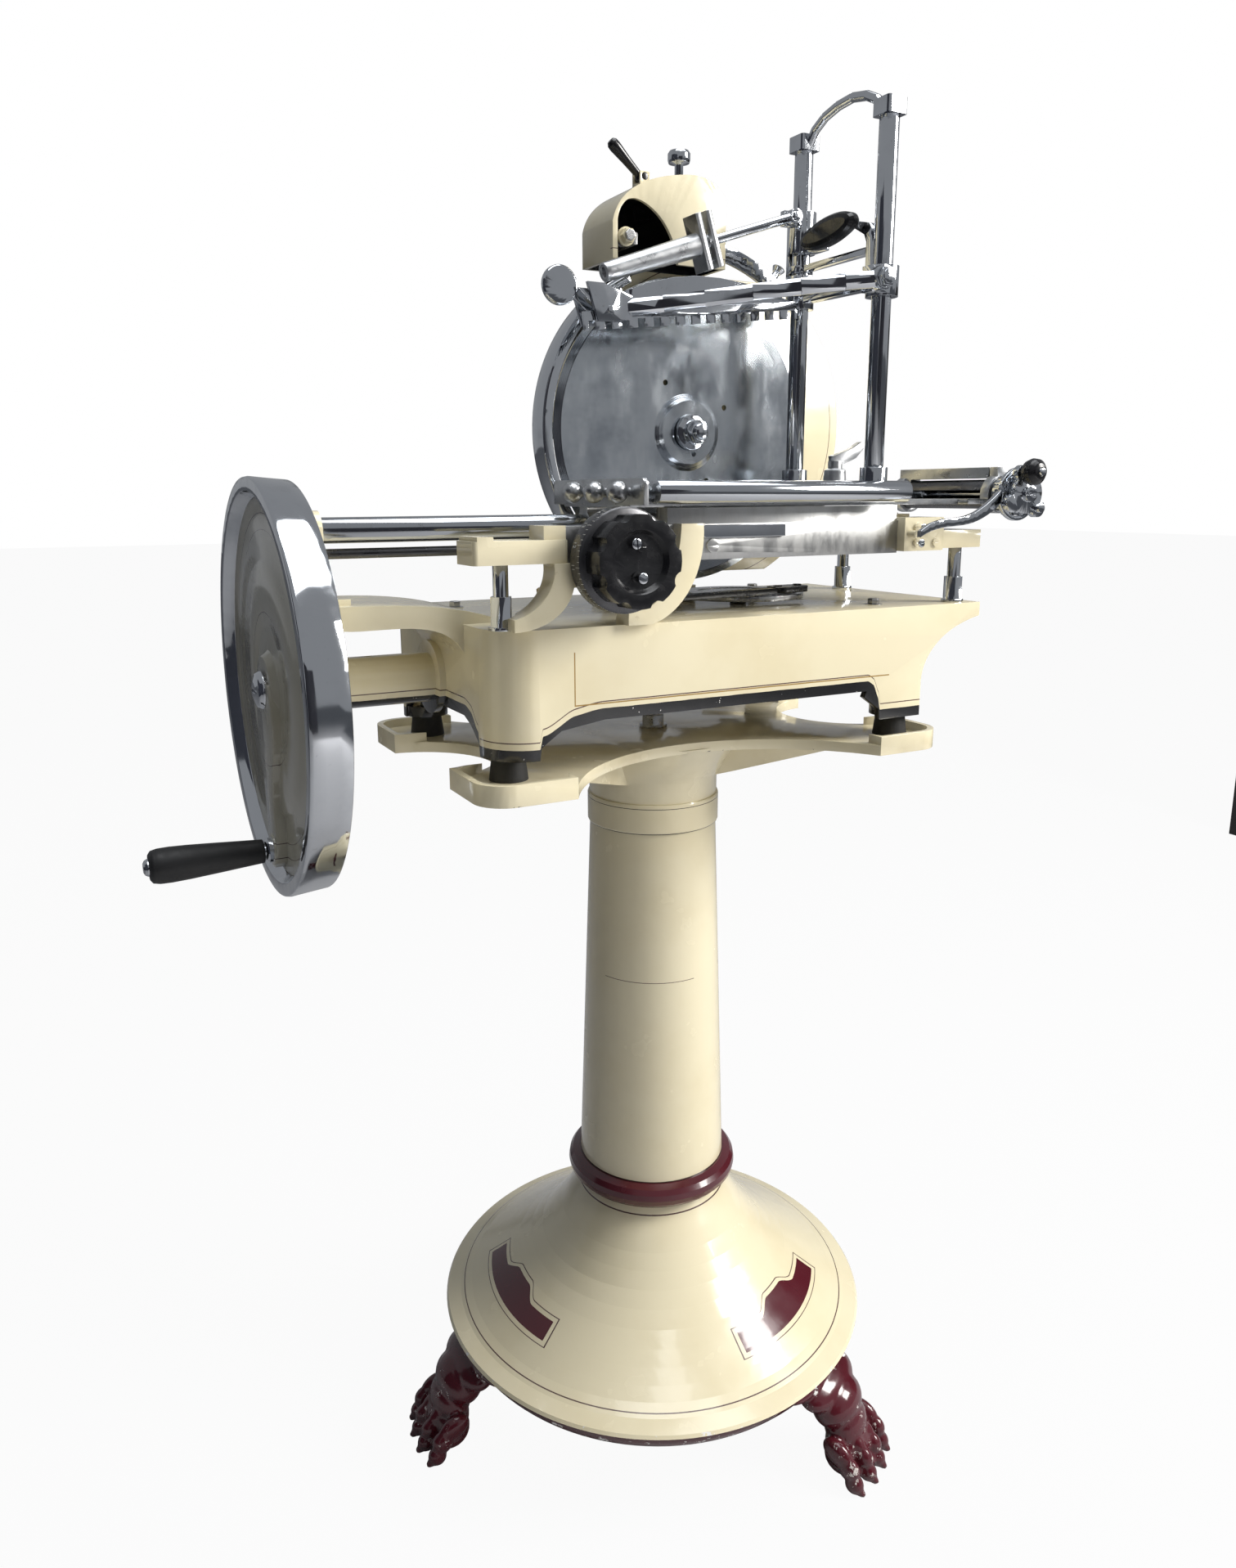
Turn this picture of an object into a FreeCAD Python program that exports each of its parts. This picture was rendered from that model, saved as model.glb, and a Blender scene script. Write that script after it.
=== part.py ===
import FreeCAD, Part
import math
import os

# Hand crank meat slicer on its pedestal, in millimetres.
# Z is up, X runs along the machine with the flywheel at minus X,
# and Y points away from the front, along the blade axis.
# The numbers below are measured from the floor under the middle of the
# pedestal. On saving, frame_shift moves the origin to the floor under the
# middle of the whole machine.

V = FreeCAD.Vector
X = V(1, 0, 0)
Y = V(0, 1, 0)
Z = V(0, 0, 1)

# From the pedestal's axis to the middle of the whole machine
frame_shift = (108.6, 7.15, 0.0)

# Clearances
run_fit = 0.05
slide_fit = 0.06
air = 0.6

# Pedestal
foot_r = 280.0
foot_rim_z = 138.0
foot_top_z = 314.0
neck_r = 88.0
skirt_bottom_z = 110.0
toe_r = 350.0
paw_angles = (177.3, 297.3, 57.3)
ring_top_z = 346.0
column_r_low = 95.0
column_r_high = 79.0
column_top_z = 804.0
band_top_z = 840.0
table_top_z = 920.4
spider_x = (-312.0, 268.0)
spider_y = (-224.0, 156.0)

# Machine base
feet = ((-260.7, -159.0), (-260.7, 92.0), (226.0, -174.0), (226.0, 92.0))
foot_pad_r = 20.0
foot_pad_high = 24.6
base_bottom_z = table_top_z + foot_pad_high
base_high = 129.0
base_top_z = base_bottom_z + base_high
arm_top_z = base_top_z + 23.0
base_x = (-288.0, 247.0)
base_top_x = 334.0
base_y = (-200.0, 132.0)
wall = 8.0
arch_top_z = base_bottom_z + 35.0

# Flywheel and drive
shaft_y = -19.0
shaft_z = base_bottom_z + 63.2
shaft_r = 12.0
wheel_r = 211.0
wheel_x = (-474.0, -434.0)
crank_r = 170.0
gear_far = 30.0
gear_near = 15.0

# Crank disc that moves the carriage
disc_x = 110.0
disc_y = shaft_y
disc_r = 80.0
disc_z = base_top_z + 3.0
pin_r = 70.0
link_length = 200.0
lug_y = -120.0
lug_x = -56.0
link_z = disc_z + 9.0
link_reach = 24.0
link_high = 8.6
eye_half = 15.0
eye_round = 12.0

# Blade
blade_x = 39.4
blade_z = base_top_z + 197.4
blade_r = 172.5
blade_y = (-8.0, -5.0)
guard_gap = 5.5
guard_wide = 12.0
guard_r = (blade_r + guard_gap, blade_r + guard_gap + guard_wide)
cover_x = 91.4
cover_z = blade_z + 10.6
cover_r = 196.5
cover_y = (22.0, 58.0)
cover_cut_z = cover_z + 170.0

# Slide ways
bar_r = 12.5
bar_y = -80.0
bar_z = base_top_z + 94.0
low_bar_z = bar_z - 22.5
rail_y = (-195.0, -173.0)
rail_z = (bar_z - 33.0, bar_z + 3.0)
rail_x = (-213.0, 204.0)
left_post = (-273.0, -180.0)
right_post = (308.0, -180.0)
back_post = (320.0, 38.0)

# Carriage and meat table
deck_z = (bar_z + 20.0, bar_z + 26.0)
table_z = (deck_z[0] + 18.0, deck_z[0] + 26.0)
table_x = (-125.0, 192.0)
table_y = (-230.0, -26.0)
end_x = -137.0
feed_x = 352.0
feed_z = deck_z[0] + 11.0
tube_r = 17.0
screw_r = 6.0

# Uprights and clamp
rod_r = 10.3
rod_x = 158.0
rod_front_y = -203.0
rod_back_y = -62.0
rod_top_z = table_z[0] + 374.0
socket_top_z = table_z[0] + 22.0
arm_x = 136.0
arm_z = rod_top_z - 164.0
clamp_y = -80.0
arm_tilt = -6.0

# Thickness dial
dial_x = -165.0
dial_z = base_top_z + 65.0
dial_r = 50.5
knob_r = 44.0


def save(name, shape):
    shape = moved(shape.removeSplitter(), frame_shift)
    shape.exportStep("parts/" + name + ".step")


def cyl(r, h, at, axis=Z):
    return Part.makeCylinder(r, h, V(*at), axis)


def tube(r_out, r_in, h, at, axis=Z):
    return cyl(r_out, h, at, axis).cut(cyl(r_in, h, at, axis))


def box(x, y, z):
    size = (x[1] - x[0], y[1] - y[0], z[1] - z[0])
    return Part.makeBox(size[0], size[1], size[2], V(x[0], y[0], z[0]))


# A ball turned from short straight runs, flat at both poles
def ball(r, at):
    points = []
    for i in range(1, 8):
        a = math.pi * i / 8
        points.append((r * math.sin(a), -r * math.cos(a)))
    return lathe([(0, points[0][1])] + points + [(0, points[6][1])], at)


def closed(points):
    return Part.Face(Part.makePolygon(points + [points[0]]))


def slab_xz(points, y):
    face = closed([V(a, y[0], b) for a, b in points])
    return face.extrude(V(0, y[1] - y[0], 0))


def slab_xy(points, z):
    face = closed([V(a, b, z[0]) for a, b in points])
    return face.extrude(V(0, 0, z[1] - z[0]))


def slab_yz(points, x):
    face = closed([V(x[0], a, b) for a, b in points])
    return face.extrude(V(x[1] - x[0], 0, 0))


def curve(points):
    line = Part.BSplineCurve()
    line.interpolate(points)
    return line.toShape()


def curved_face(runs):
    edges = []
    for run in runs:
        if len(run) == 2:
            edges.append(Part.makeLine(run[0], run[1]))
        else:
            edges.append(curve(run))
    return Part.Face(Part.Wire(edges))


def lathe(points, at=(0, 0, 0), axis=Z):
    face = closed([V(r, 0, h) for r, h in points])
    solid = face.revolve(V(0, 0, 0), Z, 360)
    solid.Placement = FreeCAD.Placement(V(*at), FreeCAD.Rotation(Z, axis))
    return solid


def lathe_curves(runs, at=(0, 0, 0), axis=Z):
    face = curved_face([[V(r, 0, h) for r, h in run] for run in runs])
    solid = face.revolve(V(0, 0, 0), Z, 360)
    solid.Placement = FreeCAD.Placement(V(*at), FreeCAD.Rotation(Z, axis))
    return solid


def turned(shape, angle, at=(0, 0, 0), axis=Z):
    copy = shape.copy()
    copy.rotate(V(*at), axis, angle)
    return copy


def moved(shape, by):
    copy = shape.copy()
    copy.translate(V(*by))
    return copy


def joined(shapes):
    return shapes[0].fuse(shapes[1:])


def rounded(shape, r, pick):
    edges = [e for e in shape.Edges if pick(e)]
    return shape.makeFillet(r, edges)


def hexagon(flat, h, at, axis=Z):
    corner = flat / math.sqrt(3)
    points = []
    for i in range(6):
        a = math.radians(60 * i)
        points.append(V(corner * math.cos(a), corner * math.sin(a), 0))
    solid = closed(points).extrude(V(0, 0, h))
    solid.Placement = FreeCAD.Placement(V(*at), FreeCAD.Rotation(Z, axis))
    return solid


def upright_edge(e):
    if not isinstance(e.Curve, Part.Line):
        return False
    return abs(e.tangentAt(e.FirstParameter).z) > 0.99


def rod_between(a, b, r_a, r_b):
    a, b = V(*a), V(*b)
    length = (b - a).Length
    if abs(r_a - r_b) < 1e-6:
        return Part.makeCylinder(r_a, length, a, b - a)
    return Part.makeCone(r_a, r_b, length, a, b - a)


# Pedestal foot: a thin bell with a rolled edge
def pedestal_foot():
    outer = [(278, foot_rim_z), (281.5, 140), (279, 143.5), (262, 150), (247, 158.3)]
    outer = outer + [(232, 168), (216, 178.8), (200, 190), (182.5, 202.7), (165, 217)]
    outer = outer + [(149, 232), (135, 248), (122, 264.5), (111, 281), (99, 298), (neck_r, foot_top_z)]
    inner = [(80, foot_top_z), (103, 277), (127, 243), (158, 211)]
    inner = inner + [(195, 183), (228, 161), (262, 143), (272, foot_rim_z)]
    return lathe(outer + inner)


# One paw: leg, instep and four toes, pointing along plus X
def paw():
    top = [(236, 124), (258, 124), (283, 108), (297, 84), (312, 62), (333, 50), (348, 34)]
    sole = [(348, 34), (350, 12), (346, 0)]
    under = [(286, 0), (280, 22), (268, 44), (254, 66), (236, 90)]
    leg = slab_xz(top + sole[1:] + under, (-31, 31))
    for i in range(4):
        side = (i - 1.5) * 21
        r = 335 - abs(i - 1.5) * 7
        outline = [(r - 60, 2), (r - 60, 52), (r - 30, 50), (r - 14, 44), (r, 34), (r + 9, 24)]
        outline = outline + [(r + 13, 12), (r + 11, 2), (r + 6, -2), (r - 50, -2)]
        toe = slab_xz(outline, (side - 9, side + 9))
        leg = leg.fuse(turned(toe, (i - 1.5) * 2.5, (r - 60, side, 0)))
    return leg.cut(box((200, 400), (-90, 90), (-20, 0)))


def foot_skirt():
    ring = lathe([(240, 128), (240, 113), (246, skirt_bottom_z), (258, skirt_bottom_z + 1),
                  (266, 117), (271, 125), (272, foot_rim_z), (262, foot_rim_z), (262, 128)])
    one = paw()
    legs = [turned(one, a) for a in paw_angles]
    return ring.fuse(legs)


def collar_ring():
    outer = [(neck_r, foot_top_z), (98, 314.5), (105, 318), (109.6, 323.5), (111, 330)]
    outer = outer + [(109.8, 337), (105.5, 342.5), (97, ring_top_z)]
    return lathe(outer + [(80, ring_top_z), (80, foot_top_z)])


def pedestal_column():
    low, high = column_r_low, column_r_high
    points = [(low, ring_top_z), (high, column_top_z)]
    points = points + [(high - 7, column_top_z), (low - 7, ring_top_z)]
    return lathe(points)


def column_band():
    points = [(81, column_top_z), (81.8, column_top_z + 2), (81.8, band_top_z - 2)]
    points = points + [(81, band_top_z), (72, band_top_z), (72, column_top_z)]
    return lathe(points)


def spider_outline(grow):
    left, right = spider_x[0] - grow, spider_x[1] + grow
    front, back = spider_y[0] - grow, spider_y[1] + grow
    mid = (front + back) / 2
    pad = 98.0 + 2 * grow
    span = (left + right) / 2
    points = [(left + pad, front), (span, front + 116 - 2 * grow), (right - pad, front),
              (right, front), (right, front + pad), (right - 82, mid), (right, back - pad),
              (right, back), (right - pad, back), (span, back - 100 + 2 * grow),
              (left + pad, back), (left, back), (left, back - pad), (left + 82, mid),
              (left, front + pad), (left, front)]
    p = [V(a, b, 0) for a, b in points]
    edges = []
    for i in (0, 4, 8, 12):
        j = (i + 4) % 16
        if i in (0, 8):
            edges.append(Part.Arc(p[i], p[i + 1], p[i + 2]).toShape())
            edges.append(Part.makeLine(p[i + 2], p[i + 3]))
            edges.append(Part.makeLine(p[i + 3], p[j]))
        else:
            edges.append(Part.Arc(p[i], p[i + 1], p[i + 2]).toShape())
            edges.append(Part.makeLine(p[i + 2], p[i + 3]))
            edges.append(Part.makeLine(p[i + 3], p[j]))
    return Part.Face(Part.Wire(edges))


# Cast table between the column and the machine, lipped round its four pads
def table_spider():
    low = table_top_z - 12
    height = 22
    plate = moved(spider_outline(0).extrude(V(0, 0, height)), (0, 0, low))
    plate = rounded(plate, 34, lambda e: upright_edge(e) and near_corner(e))
    well = moved(spider_outline(-7).extrude(V(0, 0, 30)), (0, 0, table_top_z))
    well = rounded(well, 28, lambda e: upright_edge(e) and near_corner(e))
    above = (table_top_z, table_top_z + 80)
    open_top = box((spider_x[0] - 50, spider_x[1] + 50), (spider_y[0] + 102, spider_y[1] - 102), above)
    open_mid = box((spider_x[0] + 98, spider_x[1] - 98), (spider_y[0] - 50, spider_y[1] + 50), above)
    plate = plate.cut(well).cut(open_top).cut(open_mid)
    hub = lathe([(30, band_top_z), (79.5, band_top_z), (79.5, band_top_z + 24), (90, low - 24.4),
                 (112, low + 4), (30, low + 4)])
    body = plate.fuse(hub)
    for x, y in ((-230, -150), (190, -150), (-230, 84), (190, 84)):
        angle = math.degrees(math.atan2(y, x))
        foot_z = band_top_z + 18
        rib = slab_xz([(60, foot_z), (100, foot_z + 10), (235, low - 4), (235, low + 4), (60, low + 4)], (-6, 6))
        body = body.fuse(turned(rib, angle))
    return body.cut(cyl(8.6, 60, (0, 0, low - 10)))


def near_corner(e):
    box_e = e.BoundBox
    far_x = box_e.XMin < spider_x[0] + 12 or box_e.XMax > spider_x[1] - 12
    far_y = box_e.YMin < spider_y[0] + 12 or box_e.YMax > spider_y[1] - 12
    return far_x and far_y


def base_bolt():
    bolt = cyl(8, 46, (0, 0, table_top_z - 26))
    head = hexagon(24, 11, (0, 0, table_top_z - 23))
    washer = cyl(17, 3, (0, 0, table_top_z))
    nut = hexagon(26, 12, (0, 0, table_top_z + 3))
    return joined([bolt, head, washer, nut])


def rubber_foot(x, y):
    low = table_top_z
    pad = lathe([(0, low), (foot_pad_r, low), (foot_pad_r - 3, base_bottom_z), (0, base_bottom_z)])
    return moved(pad, (x, y, 0))


def base_side_points(inset):
    left = base_x[0] + inset
    right = base_x[1] - inset
    lip = base_top_x - inset
    top = base_top_z - (0 if inset == 0 else wall)
    low = base_bottom_z - (0 if inset == 0 else 2)
    knee = base_bottom_z + 40
    line = [V(right, 0, low), V(right, 0, knee)]
    flare = [V(right, 0, knee), V(right + 8, 0, knee + 27), V(right + 34, 0, knee + 53),
             V(lip - 16, 0, knee + 69), V(lip, 0, top - 16 if inset == 0 else top - 4)]
    runs = [line, flare]
    runs.append([flare[-1], V(lip, 0, top)])
    runs.append([V(lip, 0, top), V(left, 0, top)])
    runs.append([V(left, 0, top), V(left, 0, low)])
    runs.append([V(left, 0, low), line[0]])
    return runs


def arch(low_a, low_b, top_a, top_b):
    z0 = base_bottom_z - 3
    z1, z2 = arch_top_z - 22, arch_top_z - 7
    return [(low_a, z0), (low_a + 2, z1), (low_a + 24, z2), (top_a, arch_top_z),
            (top_b, arch_top_z), (low_b - 24, z2), (low_b - 2, z1), (low_b, z0)]


def arm_left():
    under = [V(-284, 0, base_top_z - 44), V(-300, 0, base_top_z - 14), V(-345, 0, base_top_z - 1), V(-420, 0, base_top_z + 2)]
    over = [V(-420, 0, arm_top_z), V(-340, 0, arm_top_z - 2), V(-275, 0, arm_top_z - 12), V(-236, 0, base_top_z - 2)]
    runs = [under, [under[-1], over[0]], over]
    runs.append([over[-1], V(-284, 0, base_top_z - 2)])
    runs.append([V(-284, 0, base_top_z - 2), under[0]])
    arm = moved(curved_face(runs).extrude(V(0, 136, 0)), (0, -116, 0))
    return arm


# Base casting: hollow, arched on all four sides, top drawn out to the right
def base_casting():
    body = curved_face(base_side_points(0)).extrude(V(0, base_y[1] - base_y[0], 0))
    body = moved(body, (0, base_y[0], 0))
    plan = box((base_x[0], 345), base_y, (base_bottom_z - 15, base_top_z + 16))
    plan = rounded(plan, 44, lambda e: upright_edge(e) and e.BoundBox.XMin < 0)
    plan = rounded(plan, 14, lambda e: upright_edge(e) and e.BoundBox.XMin > 300)
    body = body.common(plan)
    inner = curved_face(base_side_points(wall)).extrude(V(0, base_y[1] - base_y[0] - 2 * wall, 0))
    inner = moved(inner, (0, base_y[0] + wall, 0))
    hollow = box((base_x[0] + wall, 345), (base_y[0] + wall, base_y[1] - wall), (base_bottom_z - 15, base_top_z + 16))
    hollow = rounded(hollow, 36, lambda e: upright_edge(e) and e.BoundBox.XMin < 0)
    body = body.cut(inner.common(hollow))
    for y in ((base_y[0] - 5, base_y[0] + 40), (base_y[1] - 40, base_y[1] + 5)):
        body = body.cut(slab_xz(arch(-244, 187, -172, 166), y))
    for x in ((base_x[0] - 5, base_x[0] + 40), (base_x[1] - 40, base_x[1] + 60)):
        body = body.cut(slab_yz(arch(-152, 86, -110, 44), x))
    pads = []
    for x, y in feet:
        column = cyl(12, base_top_z - base_bottom_z - 4, (x, y, base_bottom_z))
        pads.append(cyl(25, 12, (x, y, base_bottom_z)).common(plan).fuse(column))
    body = body.fuse(pads)
    body = body.fuse(arm_left())
    body = body.fuse(bearing_walls())
    cuts = [cyl(shaft_r + run_fit, 200, (-300, shaft_y, shaft_z), X)]
    cuts.append(box((blade_x - 40, blade_x + 40), (82, 104), (base_top_z - 20, base_top_z + 5)))
    cuts.append(cyl(10 + run_fit, 60, (disc_x, disc_y, base_top_z - 30)))
    return body.cut(joined(cuts))


# Brackets inside the base that carry the shafts
def bearing_walls():
    top = base_top_z - wall + 1
    left = box((-200, -186), (shaft_y - 26, shaft_y + 26), (arch_top_z, top))
    wall_x = disc_x + gear_far + 1
    right = box((wall_x, wall_x + 10), (shaft_y - 26, shaft_y + 26), (arch_top_z, top))
    cross = box((blade_x - 26, blade_x + 26), (44, 58), (arch_top_z, top))
    tower = tube(20, 10 + run_fit, 22, (disc_x, disc_y, base_top_z - wall - 20))
    left = left.cut(cyl(shaft_r + run_fit, 60, (-220, shaft_y, shaft_z), X))
    right = right.cut(cyl(10 + run_fit, 60, (wall_x - 20, shaft_y, shaft_z), X))
    cross = cross.cut(cyl(10 + run_fit, 60, (blade_x, 30, shaft_z), Y))
    return joined([left, right, cross, tower])


def shaft_housing():
    body = cyl(27, 134, (-424, shaft_y, shaft_z), X)
    body = body.fuse(cyl(40, 7, (base_x[0] - 7, shaft_y, shaft_z), X))
    body = body.cut(box((base_x[0], base_x[0] + 8), (-80, 50), (base_bottom_z, base_top_z)))
    oil = cyl(4, 20, (-360, shaft_y, shaft_z + 15))
    return body.cut(cyl(shaft_r + run_fit, 160, (-430, shaft_y, shaft_z), X)).cut(oil)


def flywheel_rim():
    front, back = wheel_x
    mid = (shaft_y, shaft_z)
    points = [(198, 0), (wheel_r, 0), (wheel_r + 0.8, 4), (208.5, back - front)]
    points = points + [(199, back - front), (196, 30), (192, 26), (192, 12), (196, 8)]
    return lathe(points, (front, mid[0], mid[1]), X)


def flywheel_web():
    at = (wheel_x[0], shaft_y, shaft_z)
    points = [(shaft_r, 5), (34, 5), (40, 12), (66, 13), (70, 11), (128, 11), (132, 14)]
    points = points + [(186, 14), (192, 12), (192, 24), (140, 22), (60, 24), (40, 30)]
    points = points + [(32, 43), (shaft_r, 43)]
    web = lathe(points, at, X)
    rib_a = [V(0, 30, 8), V(0, 34, -60), V(0, 22, -120), V(0, 18, -crank_r), V(0, 0, -190)]
    rib_b = [V(0, 0, -190), V(0, -18, -crank_r), V(0, -14, -120), V(0, -32, -60), V(0, -30, 8)]
    face = curved_face([rib_a, rib_b, [rib_b[-1], rib_a[0]]])
    rib = moved(face.extrude(V(14, 0, 0)), (wheel_x[0] + 3, shaft_y, shaft_z))
    boss = cyl(17, 26, (wheel_x[0] + 1, shaft_y, shaft_z - crank_r), X)
    web = joined([web, rib, boss])
    web = web.cut(cyl(shaft_r, 60, (wheel_x[0] - 5, shaft_y, shaft_z), X))
    return web.cut(cyl(6, 60, (wheel_x[0] - 5, shaft_y, shaft_z - crank_r), X))


def flywheel_cap():
    cap = lathe([(0, 0), (8, 0), (17, 3), (20, 8), (20, 9), (0, 9)],
                (wheel_x[0] - 6, shaft_y, shaft_z), X)
    slot = box((wheel_x[0] - 10, wheel_x[0] - 3.5), (shaft_y - 12, shaft_y + 12),
               (shaft_z - 1.5, shaft_z + 1.5))
    return cap.cut(slot)


def crank_spindle():
    z = shaft_z - crank_r
    pin = cyl(6, 147, (-595, shaft_y, z), X)
    collar = lathe([(0, 0), (10, 0), (13, 3), (13, 7), (0, 7)], (wheel_x[0] - 6, shaft_y, z), X)
    end = lathe([(0, 0), (5, 0), (7.6, 1.5), (9, 4), (9, 5), (0, 5)], (-599, shaft_y, z), X)
    return joined([pin, collar, end])


def crank_grip():
    z = shaft_z - crank_r
    bore = 6 + run_fit
    outer = [(bore, 0), (13, 0), (16.5, 2.5), (18, 9), (18.3, 20), (17.6, 38), (15.6, 68), (12.4, 112)]
    return lathe(outer + [(bore, 112)], (-593.6, shaft_y, z), X)


def bevel(apex, axis, near, far):
    apex = V(*apex)
    return Part.makeCone(near - air, far - air, far - near, apex + axis * near, axis)


def main_shaft():
    shaft = cyl(shaft_r, 400, (wheel_x[0] + 3, shaft_y, shaft_z), X)
    thin = cyl(10, disc_x + 115, (-74, shaft_y, shaft_z), X)
    one = bevel((blade_x, shaft_y, shaft_z), V(-1, 0, 0), gear_near, gear_far)
    two = bevel((disc_x, shaft_y, shaft_z), V(-1, 0, 0), gear_near, gear_far)
    return joined([shaft, thin, one, two])


def cross_shaft():
    start = shaft_y + gear_near
    shaft = cyl(10, 100 - start, (blade_x, start, shaft_z), Y)
    gear = bevel((blade_x, shaft_y, shaft_z), Y, gear_near, gear_far)
    return joined([shaft, gear, sprocket(27, 89, shaft_z)])


def sprocket(r, y, z):
    wheel = cyl(r, 6, (blade_x, y, z), Y)
    for i in range(12):
        a = math.radians(30 * i)
        notch = cyl(2.6, 8, (blade_x + r * math.cos(a), y - 1, z + r * math.sin(a)), Y)
        wheel = wheel.cut(notch)
    return wheel


# Roller chain drawn as one closed band round both sprockets
def drive_chain():
    low, high = 27 + 1.2, 18 + 1.2
    return chain_band(low + 4, high + 4).cut(chain_band(low, high))


def chain_band(r_low, r_high):
    gap = blade_z - shaft_z
    tilt = math.asin((r_low - r_high) / gap)
    c, s = math.cos(tilt), math.sin(tilt)
    pts = [(blade_x - r_low * c, shaft_z + r_low * s), (blade_x + r_low * c, shaft_z + r_low * s)]
    pts = pts + [(blade_x + r_high * c, blade_z + r_high * s)]
    pts = pts + [(blade_x - r_high * c, blade_z + r_high * s)]
    y = (89.0, 95.0)
    body = slab_xz(pts, y)
    body = body.fuse(cyl(r_low, 6, (blade_x, y[0], shaft_z), Y))
    return body.fuse(cyl(r_high, 6, (blade_x, y[0], blade_z), Y))


def crank_disc():
    disc = cyl(disc_r, 6, (disc_x, disc_y, disc_z))
    ring = tube(disc_r - 8, disc_r - 30, 2, (disc_x, disc_y, disc_z + 5))
    hub = cyl(16, 3, (disc_x, disc_y, disc_z + 5))
    shaft = cyl(10, 56, (disc_x, disc_y, shaft_z + gear_near))
    a = pin_angle()
    pin = cyl(7, link_z - disc_z - 1.0, (disc_x + pin_r * math.cos(a), disc_y + pin_r * math.sin(a), disc_z))
    gear = bevel((disc_x, disc_y, shaft_z), Z, gear_near, gear_far)
    return joined([disc, ring, hub, shaft, pin, gear])


# Angle of the crank pin that puts the link exactly between pin and lug
def pin_angle():
    dx, dy = disc_x - lug_x, disc_y - lug_y
    total = (link_length ** 2 - dx ** 2 - dy ** 2 - pin_r ** 2) / (2 * pin_r)
    return math.atan2(dy, dx) - math.acos(total / math.hypot(dx, dy))


def drive_link():
    a = pin_angle()
    px, py = disc_x + pin_r * math.cos(a), disc_y + pin_r * math.sin(a)
    turn = math.degrees(math.atan2(py - lug_y, px - lug_x))
    bar = box((0, link_length), (-8, 8), (0, 6))
    eye = box((link_length - 30, link_length + link_reach), (-eye_half, eye_half), (0, link_high - 1.6))
    eye = rounded(eye, eye_round, upright_edge)
    head = cyl(14, 6, (0, 0, 0))
    body = joined([bar, eye, head])
    for x in (link_length - 20, link_length + 14):
        body = body.fuse(hexagon(9, 1.6, (x, 0, link_high - 1.6)))
    body = body.cut(cyl(6 + run_fit, 20, (0, 0, -5)))
    return moved(turned(body, turn), (lug_x, lug_y, link_z))


# How far from the disc's axis the link's outer corner gets at its widest swing
def link_sweep():
    a = math.asin((disc_y + pin_r - lug_y) / link_length)
    along = link_length + link_reach - eye_round
    aside = eye_half - eye_round
    x = lug_x + along * math.cos(a) - aside * math.sin(a)
    y = lug_y + along * math.sin(a) + aside * math.cos(a)
    return math.hypot(x - disc_x, y - disc_y) + eye_round


# Hollow column behind the blade, with the blade bearing and room for the
# drive link's eye at the far end of its swing
def blade_standard():
    y = (62.0, 112.0)
    shell = standard_shape(48, y, base_top_z)
    shell = shell.cut(standard_shape(41, (69.0, 105.0), base_top_z - 1))
    foot = box((blade_x - 66, blade_x + 66), (62, 120), (base_top_z, link_z - air))
    foot = rounded(foot, 14, upright_edge)
    foot = foot.cut(box((blade_x - 41, blade_x + 41), (69, 105), (base_top_z - 1, link_z + 8)))
    nose = cyl(25, 60, (blade_x, 12, blade_z), Y)
    body = joined([shell, foot, nose])
    swing = cyl(link_sweep() + air, link_high + 2 * air, (disc_x, disc_y, link_z - air))
    return body.cut(swing).cut(cyl(shaft_r + run_fit, 90, (blade_x, 0, blade_z), Y))


def standard_shape(r, y, low):
    body = box((blade_x - r, blade_x + r), y, (low, blade_z))
    return body.fuse(cyl(r, y[1] - y[0], (blade_x, y[0], blade_z), Y))


def rear_cover():
    disc = cyl(cover_r, cover_y[1] - cover_y[0], (cover_x, cover_y[0], cover_z), Y)
    disc = disc.cut(cyl(cover_r - 5, 60, (cover_x, cover_y[0] + 5, cover_z), Y))
    disc = disc.fuse(tube(34, 26, cover_y[1] - cover_y[0], (blade_x, cover_y[0], blade_z), Y))
    shelf = box((0, 120), cover_y, (cover_cut_z - 6, cover_cut_z))
    disc = disc.fuse(shelf)
    disc = disc.cut(box((-200, 400), (0, 100), (cover_cut_z, cover_cut_z + 150)))
    disc = disc.cut(box((-200, 400), (0, 100), (base_top_z - 74, base_top_z + 32)))
    for z in (base_top_z + 56, cover_cut_z - 62):
        disc = disc.fuse(box((blade_x - 20, blade_x + 20), (cover_y[0] + 2, 62), (z, z + 20)))
    return disc.cut(cyl(26, 90, (blade_x, 0, blade_z), Y)).cut(standard_shape(48.3, (62.0, 112.0), base_top_z))


def blade_shaft():
    shaft = cyl(shaft_r, 101, (blade_x, -1, blade_z), Y)
    flange = cyl(32, 7, (blade_x, blade_y[1], blade_z), Y)
    nose = cyl(9, 36, (blade_x, -40, blade_z), Y)
    return joined([shaft, flange, nose, sprocket(18, 89, blade_z)])


def knife_blade():
    front, back = blade_y
    points = [(9, 0), (36, 0), (40, 3), (44, 5.4), (120, 6), (150, 6.8), (164, 7)]
    points = points + [(blade_r, 9), (blade_r, 9.4), (150, 10), (40, 9), (9, 9)]
    disc = lathe(points, (blade_x, back - 9.0, blade_z), Y)
    for a, r in ((118, 63), (297, 62), (285, 25), (30, 60)):
        spot = (blade_x + r * math.cos(math.radians(a)), -20, blade_z + r * math.sin(math.radians(a)))
        disc = disc.cut(cyl(3.2, 40, spot, Y))
    return disc


def blade_nut():
    at = (blade_x, -44, blade_z)
    nut = lathe([(0, 0), (5, 0), (8, 1.2), (9.4, 3), (9.4, 12), (14, 12), (14, 20), (20, 22), (20, 28), (0, 28)], at, Y)
    nut = nut.fuse(hexagon(22, 8, (blade_x, -38, blade_z), Y))
    return nut.cut(cyl(9, 60, (blade_x, -40, blade_z), Y))


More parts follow.
